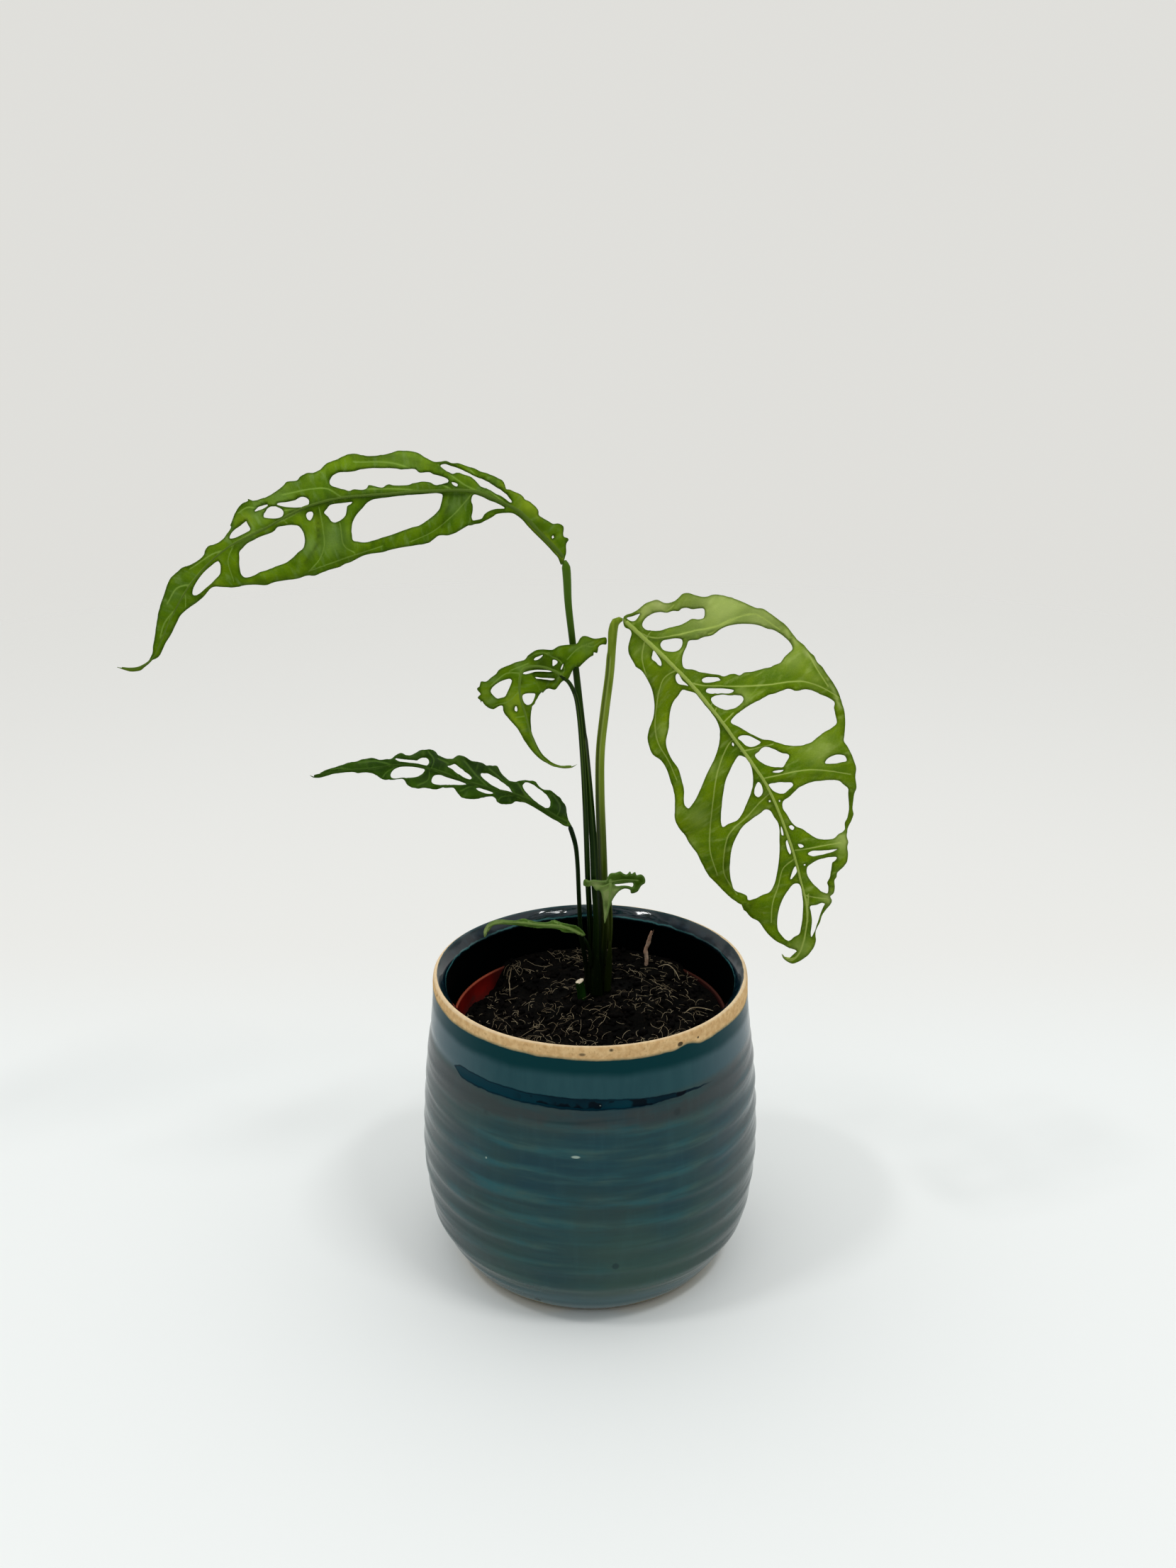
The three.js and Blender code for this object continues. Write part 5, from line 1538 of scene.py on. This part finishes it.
        (905, 896, 14, 0.4), (917, 1035, 12, 0.5), (1005, 1190, 22, 0.25), (1118, 1150, 12, 0.4),
        (1060, 1100, 8, 0.35), (960, 955, 10, 0.3), (1136, 1300, 10, 0.4),
    ],
    painted_sheen=[
        (1030, 860, 30, 0.75), (1070, 874, 24, 0.7), (1110, 900, 16, 0.55), (1150, 960, 16, 0.3),
        (1046, 984, 12, 0.7), (934, 1032, 10, 0.5), (1003, 1082, 11, 0.6), (1072, 1154, 12, 0.6),
        (1155, 1060, 22, 0.4), (1186, 1188, 12, 0.8), (1130, 1336, 12, 0.7), (1164, 1267, 9, 0.7),
        (985, 1150, 14, 0.4), (908, 916, 10, 0.35), (1120, 930, 16, 0.35), (1090, 1190, 8, 0.3),
        (975, 1190, 10, 0.35),
    ],
    strokes=[
        ("dark", 3, 0.7, "917,903 966,899 1008,890 1040,884"),
        ("dark", 2.6, 0.6, "985,974 1030,974 1090,971"),
        ("dark", 3, 0.5, "1082,1104 1120,1097 1160,1092"),
        ("dark", 3, 0.7, "1010,1012 1040,1054 1064,1092"),
        ("dark", 3.5, 0.7, "1084,1122 1104,1160 1120,1204 1130,1250"),
        ("dark", 3, 0.6, "1060,1180 1032,1178 1024,1215 1026,1250"),
        ("dark", 4, 0.45, "990,1190 1000,1220 1030,1256"),
        ("dark", 2.4, 0.6, "918,960 924,1000 916,1040"),
        ("dark", 2.5, 0.5, "1144,1262 1141,1296 1136,1320"),
        ("dark", 2.6, 0.5, "1186,1000 1188,1040"),
        ("dark", 2.4, 0.6, "1078,1240 1066,1262 1060,1280"),
        ("pale", 2.4, 0.5, "1100,884 1140,924 1168,958 1186,1000"),
        ("pale", 2.4, 0.45, "1010,842 1056,857"),
    ],
)

LEAF_MIDDLE = dict(
    rib=[
        (800, 961, 4.4), (785, 948, 3), (760, 940, 1.6), (738, 944, 0.4), (733, 975, -1.6),
        (742, 1010, -3), (752, 1045, -4), (770, 1074, -4.6), (790, 1082.2, -4.4), (812, 1080, -4),
    ],
    slopes=(0.45, 0.35),
    outline=(
        "679,961 677,968 673.5,970.5 676,975 678.5,979 676,981 674,983.5 678,987.5 678.5,990.5 "
        "680,988.5 684,993 690,997.5 697,999.5 701,997.5 705,995.5 709.5,995.5 710,1001 713,1007 "
        "720,1015.5 728,1025 734,1034 740,1045 748,1056 757,1066 765,1073 773,1077.5 782,1081 "
        "790,1083.5 799,1084 808,1082.5 814.7,1077.5 810,1080.5 803,1082 795,1081.5 787,1079.5 "
        "779,1076 772,1070.5 766,1065.5 760,1057 754,1044 750,1034 749,1024 748.5,1014 749.5,1003 "
        "751,996 754,993 755.5,989 758,985 760,981 765,976.5 770,972.5 774,971 780,972 784,971.5 "
        "788,967 794,960.5 800,960 803,955 811,941 817,941 822,936 828,930 833,926 837,924 837,920 "
        "842,921 843,918 843.5,913 846,910.5 850,909 855,909 855,899 848,900 839,901 832,899 "
        "826,897.5 822,898 818,902 814,908 803,909 793,910 787,912 780,916.5 765,916 757,917 750,921 "
        "744,926 741,930 735,932 727,934 718,938 710,941 703,945.5 700,950 692,956 686,961"
    ),
    holes=[
        "737,985 738,980 743,978 750,978 755,979.5 753.5,986 751,991 748,994 743,994 739,991",
        "692,976 694,971 698,967 705,962 712,959.5 720,958 722,960 720,967 716,976 712,983 706,985 "
        "702,985.5 697,982",
        "726,999 728,996 730,1000 729,1004 726,1003",
        "736,950 745,946.5 755,945 765,945 775,946 779,948 770,948.4 760,948.6 750,949.5 742,951",
        "755,955 765,956 775,956 783,957.5 780,960 772,960 764,958.5 757,957",
        "753,931 755,928 760,926 766,924 763,928 758,931",
        "780,931 784,931.5 787,934 784,938 780,940 779.5,935",
        "791,944 793,938 795,936 795,940 792,945",
    ],
    veins=[
        "812,940 803,955 806,962",
        "770,922 790,933 796,945 788,956",
        "741,930 757,922 775,921",
        "733,975 716,990 700,994",
        "738,950 715,950 694,966",
        "742,1010 728,1012",
        "747,1030 755,1036",
        "820,910 836,912 848,904",
        "800,930 815,915 835,906",
        "736,980 752,1000",
        "720,946 745,936",
    ],
    ripple=1.6, pace=0.1, cord=0.4, crinkle=0.6, shaded=0.5,
    pale=[
        (805, 1082, 26, 0.75), (728, 988, 14, 0.5), (845, 904, 10, 0.3), (683, 980, 12, 0.25),
    ],
    dark=[
        (765, 936, 16, 0.9), (750, 925, 8, 0.8), (735, 962, 4, 0.9), (742, 1000, 5, 0.6),
        (770, 952, 14, 0.6), (808, 948, 8, 0.6), (745, 1030, 7, 0.4), (785, 942, 10, 0.5),
    ],
    painted_sheen=[
        (735, 940, 10, 0.3), (700, 960, 8, 0.3), (826, 912, 10, 0.4), (757, 1046, 6, 0.3),
        (720, 992, 8, 0.3),
    ],
    strokes=[
        ("dark", 2, 0.9, "757,930 775,925 797,932"),
        ("dark", 2, 0.9, "752,942 775,942 797,946"),
        ("dark", 2, 0.8, "745,954 765,953 788,954"),
        ("dark", 2.4, 0.7, "790,962 805,948 820,938"),
        ("dark", 2, 0.7, "742,990 747,1012 754,1040"),
        ("pale", 3, 0.5, "716,985 722,1005 738,1030"),
    ],
)

LEAF_LOWER_LEFT = dict(
    rib=[
        (803, 1163, 6.2), (785, 1153, 5), (757, 1135, 3.6), (728, 1122, 2.4), (690, 1112, 1),
        (650, 1100, 0), (608, 1085, -1), (570, 1079, -2), (520, 1085, -3.4), (480, 1088, -4.6),
        (437, 1094, -6),
    ],
    slopes=(-1.4, 1.9),
    outline=(
        "437,1094 444,1095.6 449,1093 454,1089 460,1085.5 468,1083 478,1079.5 487,1075.5 497,1073.5 "
        "505,1073 510,1071 516,1069.5 525,1067.5 536,1071 541,1070.5 547,1068.5 551,1069.5 554,1068 "
        "557,1064.5 560,1062.5 565,1060.5 573,1063.5 578,1063.5 585,1061 590,1058 597,1055.5 "
        "604,1055.5 611,1056 615,1059 619,1063.5 625,1066.5 632,1068.5 640,1067.5 645,1065.5 652,1065 "
        "658,1066.5 664,1070 677,1072 686,1077.5 693,1078.5 700,1079 704,1082 708,1089 714,1095 "
        "720,1099 727,1101.5 733,1100 739,1098.5 746,1098.5 753,1100.5 758,1104 763,1109.5 768,1112 "
        "775,1112.5 779,1115 785,1121 791,1124 793,1128 797,1132 799,1138 799.5,1144 801,1152 "
        "803,1158 806,1165 796,1166 788,1160 780,1156 770,1150 760,1144 750,1138 744,1134.5 738,1133 "
        "731,1133 726,1132.5 722,1135.5 717,1136.5 711,1136.5 705,1135 701,1131 700,1128 697,1126 "
        "692,1124.5 685,1125.5 678,1127 673,1129 666,1129.5 658,1128.5 652,1126.5 647,1122 643,1117 "
        "640,1113 633,1111.5 625,1112 612,1115.5 605,1115 595,1113.5 588,1114 580,1112 574,1108 "
        "571,1103 568,1099.5 562,1099 555,1101 548,1102 541,1101 535,1098 529,1094 518,1090.5 "
        "510,1090.5 505,1091.5 499,1089.5 492,1089.5 483,1090.5 472,1091.5 465,1093.5 458,1096 "
        "450,1098 443,1097.5"
    ),
    holes=[
        "557,1070 562,1072 570,1073.5 580,1074.5 588,1074.5 591,1072 596,1070 601,1070 605,1073 "
        "605,1077 602,1079.6 597,1078.5 590,1077 580,1076 570,1074.5 562,1072.7",
        "551,1094.5 552,1090 557,1085 563,1082.6 572,1081.4 582,1081.8 592,1082 598,1084 599.5,1086 "
        "597,1089.6 590,1093.6 582,1095 573,1096 566,1097 557,1097.6",
        "609,1102.6 609.5,1098 612,1095 617,1094 622,1093.5 628,1096 636,1098.5 645,1101.5 653,1104 "
        "658,1105.7 652,1106 640,1106.5 620,1106 613,1104.5",
        "631,1080 636,1080.5 641,1080 645,1082 650,1086 657,1091 662,1095 665.5,1098 664,1099.6 "
        "660,1098.6 653,1095.6 645,1090 638,1084.6",
        "678,1092 684,1092 690,1093 697,1096 704,1100 711,1105 718,1111 722,1116 724,1119.6 718,1118 "
        "710,1116.5 703,1112.5 695,1107 688,1102 682,1097",
        "671,1111.4 674,1111.4 682,1113.8 690,1116.4 696,1118.5 690,1118.5 682,1116 675,1114.5",
        "737,1108 739,1105.5 743,1106 750,1108.5 758,1113 766,1119 771,1125 775,1131 777,1136 "
        "775,1139 769,1140.6 764,1138 758,1132.5 751,1126 744,1119 739,1113",
    ],
    veins=[
        "785,1153 790,1138 780,1120",
        "757,1135 742,1122 730,1104",
        "728,1122 705,1098 690,1084",
        "690,1112 672,1094 655,1074",
        "650,1100 632,1078 618,1070",
        "608,1085 612,1072 604,1060",
        "555,1080 530,1074 505,1076",
        "690,1112 664,1110 650,1116",
        "728,1122 708,1124 702,1130",
        "650,1100 628,1110",
        "606,1086 604,1100 590,1108",
        "560,1081 545,1090 540,1097",
        "500,1087 480,1084 466,1086",
    ],
    ripple=1.6, pace=0.09, cord=0.42, crinkle=0.6, shaded=0.7,
    pale=[
        (800, 1163, 8, 0.3), (740, 1131, 10, 0.25),
    ],
    dark=[
        (775, 1148, 17, 0.8), (790, 1130, 12, 0.6), (700, 1120, 20, 0.5), (600, 1080, 16, 0.5),
        (665, 1104, 14, 0.4), (560, 1078, 12, 0.4),
    ],
    painted_sheen=[
        (580, 1068, 10, 0.3), (640, 1074, 10, 0.4), (700, 1086, 10, 0.35), (760, 1110, 10, 0.35),
        (690, 1122, 8, 0.3), (600, 1108, 10, 0.3), (510, 1076, 12, 0.25),
    ],
    strokes=[
        ("dark", 2.4, 0.8, "560,1080 608,1088 655,1106 690,1114 728,1126"),
        ("dark", 2, 0.7, "735,1126 757,1139 785,1156"),
        ("dark", 2, 0.6, "470,1090 510,1087 550,1082"),
        ("dark", 2, 0.6, "705,1092 722,1108 735,1118"),
    ],
)

LEAF_SMALL_RIGHT = dict(
    rib=[
        (861, 1242, 6.4), (861.5, 1250, 5.8), (860, 1266, 4.6), (857, 1284, 3.6), (853, 1302, 3),
    ],
    slopes=(0.35, 0.3),
    outline=(
        "823,1247 824,1241 827,1240.6 830,1242 836.5,1241 842,1241.4 849,1242 856,1241 856.6,1239 "
        "860.5,1232.6 868,1231 875,1229 879.6,1232 884,1233.6 889,1229 890.7,1232.6 896,1230 "
        "898,1234.5 904.5,1233.6 909,1237 910,1245 905,1249 898.7,1257.5 890,1260 889,1255.6 "
        "881.5,1253.7 874,1256.5 866,1266 860.5,1279.5 856.6,1293 853,1303 852,1293 851,1279.5 "
        "850,1268 846,1256.5 841,1256.5 835.6,1250 830,1251.7 824,1250"
    ),
    holes=[
        "867,1248 878,1246.6 893,1246 892.6,1251 886,1250 877,1249.6 870,1250",
    ],
    veins=[
        "861,1246 850,1250 843,1248",
        "861,1252 852,1258",
        "862,1244 880,1241 900,1242",
        "862,1256 872,1254",
    ],
    ripple=0.6, pace=0.2, cord=0.28, crinkle=0.35, grid=0.5,
    pale=[
        (853, 1296, 14, 0.85), (857, 1262, 12, 0.45), (840, 1248, 10, 0.4), (868, 1258, 8, 0.4),
    ],
    dark=[
        (880, 1240, 14, 0.5), (905, 1242, 6, 0.3), (828, 1247, 4, 0.4),
    ],
    painted_sheen=[
        (853, 1264, 9, 0.6), (870, 1254, 8, 0.5), (845, 1249, 7, 0.4), (896, 1236, 6, 0.3),
    ],
    strokes=[
        ("dark", 1.6, 0.8, "863,1246 876,1243 895,1243"),
        ("dark", 1.3, 0.7, "862,1250 860,1266 857,1284"),
        ("dark", 1.4, 0.6, "826,1245 838,1246"),
        ("pale", 1.3, 0.8, "842,1257 850,1268 852,1292"),
        ("pale", 1.2, 0.5, "828,1242 842,1242 856,1241"),
    ],
)

LEAF_LOW_LEFT = dict(
    rib=[
        (823.5, 1320.5, 9), (800, 1309, 8), (757, 1304, 7), (717, 1301, 6), (694, 1304, 5.4),
        (684, 1321, 5),
    ],
    slopes=(-1.1, 1.7),
    outline=(
        "684,1322.5 682.5,1314 687,1304 696,1298.6 705.5,1296.7 717,1298 726.5,1298.6 738,1295 "
        "749.5,1298 759,1300.5 772,1300.5 782,1297 791.6,1300.5 803,1303 814.5,1306 822,1312 826,1319 "
        "822,1321.2 812.6,1317 795,1316 788,1312 774,1310 757,1310 736,1307 717,1305 700,1305 "
        "690,1310 685.5,1321"
    ),
    holes=[],
    veins=[
        "800,1309 790,1304 782,1300",
        "757,1304 745,1300",
        "720,1301 708,1299",
    ],
    ripple=0.5, pace=0.12, cord=0.28, crinkle=0.3, grid=0.5,
    pale=[
        (685, 1314, 12, 0.85), (700, 1301, 10, 0.4),
    ],
    dark=[
        (812, 1314, 10, 0.4), (770, 1306, 12, 0.3),
    ],
    painted_sheen=[
        (740, 1300, 7, 0.5), (715, 1300, 8, 0.5), (778, 1303, 8, 0.4), (700, 1301, 6, 0.4),
    ],
    strokes=[
        ("dark", 1.5, 0.8, "710,1302 736,1304 760,1307 790,1311 815,1317"),
        ("dark", 1.4, 0.6, "748,1300 760,1303 775,1302"),
        ("pale", 1.3, 0.5, "690,1305 706,1299 722,1300"),
    ],
)


def leaves():
    green = leaf_finish("leaf_tissue_green", srgb(76, 112, 0), srgb(120, 154, 8), srgb(138, 170, 90),
                        srgb(136, 168, 66), srgb(176, 200, 46), srgb(44, 72, 6))
    bright = leaf_finish("leaf_tissue_bright", srgb(86, 122, 0), srgb(132, 160, 2), srgb(176, 198, 98),
                         srgb(184, 204, 100), srgb(214, 226, 138), srgb(72, 100, 10))
    dark = leaf_finish("leaf_tissue_dark", srgb(26, 52, 0), srgb(54, 90, 0), srgb(88, 118, 44),
                       srgb(76, 108, 32), srgb(126, 152, 54), srgb(58, 92, 18))
    small = leaf_finish("leaf_tissue_small", srgb(34, 66, 0), srgb(72, 110, 6), srgb(116, 152, 62),
                        srgb(138, 166, 88), srgb(202, 216, 142), srgb(112, 146, 74))
    for name, spec, finish, slot in (
            ("leaf_right", LEAF_RIGHT, bright, "leaf_bright"),
            ("leaf_upper_left", LEAF_UPPER_LEFT, green, "leaf_green"),
            ("leaf_middle", LEAF_MIDDLE, green, "leaf_green"),
            ("leaf_lower_left", LEAF_LOWER_LEFT, dark, "leaf_dark"),
            ("leaf_small_right", LEAF_SMALL_RIGHT, small, "leaf_bright"),
            ("leaf_low_left", LEAF_LOW_LEFT, small, "leaf_green")):
        Leaf(name, **spec).build(finish, slot)


# Stage, light and camera


def stage():
    """A pale paper floor that fades out towards the wall."""
    finish = Finish("pale_paper", Roughness=0.6, Specular_IOR_Level=0.1)
    x, y, _ = finish.axes()
    across = x * x + y * y
    reach = across.maths("SQRT", across)
    colour = finish.mix(y.rise(130, 320), srgb(241, 243, 242), srgb(238, 237, 234))
    finish.set(Base_Color=colour, Alpha=reach.rise(1500, 500))
    floor = bmesh.new()
    bmesh.ops.create_circle(floor, cap_ends=True, segments=96, radius=3)
    mesh = bpy.data.meshes.new("pale_floor")
    floor.to_mesh(mesh)
    floor.free()
    mesh.materials.append(finish.material)
    piece = bpy.data.objects.new("pale_floor", mesh)
    scene.collection.objects.link(piece)
    piece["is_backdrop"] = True


def softbox(name, place, towards, size, power):
    data = bpy.data.lights.new(name, "AREA")
    data.shape = "RECTANGLE"
    data.size, data.size_y = size
    data.energy = power
    lamp = bpy.data.objects.new(name, data)
    lamp.location = place
    lamp.rotation_euler = (Vector(towards) - Vector(place)).to_track_quat("-Z", "Y").to_euler()
    scene.collection.objects.link(lamp)


def room():
    """A pale wall behind, a bright ceiling and a dimmer room on the viewer's side."""
    world = bpy.data.worlds.new("soft_room")
    world.use_nodes = True
    tree = world.node_tree

    def node(kind, sockets, **settings):
        made = tree.nodes.new("ShaderNode" + kind)
        for name, value in settings.items():
            setattr(made, name, value)
        for name, value in sockets.items():
            if isinstance(value, bpy.types.NodeSocket):
                tree.links.new(value, made.inputs[name])
            else:
                made.inputs[name].default_value = value
        return made

    way = node("SeparateXYZ", {0: node("TexCoord", {}).outputs["Generated"]}).outputs
    behind = node("MapRange", {0: way[1], 1: -0.25, 2: 0.35}, interpolation_type="SMOOTHSTEP").outputs[0]
    above = node("MapRange", {0: way[2], 1: 0.35, 2: 0.9}, interpolation_type="SMOOTHSTEP").outputs[0]
    side = node("Mix", {0: behind, 6: (0.27, 0.28, 0.28, 1), 7: (0.745, 0.74, 0.71, 1)}, data_type="RGBA")
    whole = node("Mix", {0: above, 6: side.outputs[2], 7: (0.92, 0.94, 0.94, 1)}, data_type="RGBA")
    background = tree.nodes["Background"]
    tree.links.new(whole.outputs[2], background.inputs["Color"])
    scene.world = world


def lights():
    room()
    softbox("ceiling_light_right", (0.7, -0.65, 1.9), (0, 0, 0.1), (0.55, 0.14), 8)
    softbox("ceiling_light_left", (-0.95, -0.5, 1.9), (0, 0, 0.1), (0.3, 0.13), 6)


def camera():
    data = bpy.data.cameras.new("camera")
    data.sensor_fit = "VERTICAL"
    data.sensor_height = 36
    data.lens = data.sensor_height * PICTURE_FOCAL / PICTURE_HEIGHT
    data.clip_start = 0.02
    holder = bpy.data.objects.new("camera", data)
    holder.location = EYE
    holder.rotation_euler = (math.pi / 2 - EYE_PITCH, 0, 0)
    scene.collection.objects.link(holder)
    scene.camera = holder


def main():
    scene.view_settings.view_transform = "Standard"
    camera()
    stage()
    lights()
    cover_pot()
    nursery_pot(terracotta_finish())
    soil_top(soil_finish("potting_mix", srgb(2, 2, 1), srgb(24, 18, 13)))
    soil_crumbs(soil_finish("soil_crumb", srgb(2, 1, 1), srgb(18, 13, 8)))
    tan = fibre_finish("tan_fibre", srgb(120, 104, 78), srgb(186, 170, 138))
    soil_fibres([
        tan,
        fibre_finish("brown_fibre", srgb(52, 36, 22), srgb(110, 84, 56)),
        fibre_finish("olive_fibre", srgb(62, 60, 26), srgb(112, 106, 58)),
        fibre_finish("grey_fibre", srgb(120, 124, 118), srgb(206, 208, 200)),
        fibre_finish("dark_fibre", srgb(22, 15, 9), srgb(50, 36, 24)),
    ])
    loose_fibre(
        "root_fibre_right", [(31, 36, 0.4), (35, 35, 3), (38, 32, 3.4), (40.5, 27, 0.5)], 0.36, tan)
    loose_fibre(
        "root_fibre_left", [(-36, 40, 0.5), (-37, 34, 2.2), (-36.5, 27, 2), (-36, 19.5, 0.4)], 0.34, tan)
    loose_fibre(
        "root_fibre_front", [(41, -2.5, 0.4), (44.5, 0, 1.6), (49.5, 1.5, 1.6), (54, 0.6, 0.4)], 0.4, tan)
    twig(fibre_finish("twig_bark", srgb(150, 108, 86), srgb(226, 198, 172)))
    green = stalk_finish("stalk_green", srgb(12, 30, 0), srgb(42, 68, 4), srgb(92, 118, 46),
                         young=srgb(80, 116, 20))
    pale = stalk_finish("stalk_pale", srgb(100, 124, 10), srgb(142, 162, 50), srgb(170, 186, 100), 0.9)
    dusky = stalk_finish("stalk_dusky", srgb(6, 14, 0), srgb(24, 38, 6), srgb(60, 78, 34))
    crown(green)
    pointed_sheath("sheath_right", pale, "stalk_pale", (7.2, 12.2, 120), (8.7, 9.6, 146), 2.3, 0.5)
    pointed_sheath("sheath_front", green, "stalk_green", (2.6, 10.8, 119), (3.4, 9.3, 139), 2.4, -0.2)
    pointed_sheath("sheath_left", green, "stalk_green", (0.2, 13.0, 119), (-0.6, 12.2, 137), 1.8, -1.1)
    stalks(green, pale, dusky)
    cut_stub(stalk_finish("stub_green", srgb(18, 48, 10), srgb(48, 96, 30), srgb(120, 150, 80), 0.2))
    leaves()


main()
boxes = {"cad": cad_box, "visual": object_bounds()}
{name: [list(corner) for corner in box] for name, box in boxes.items()}
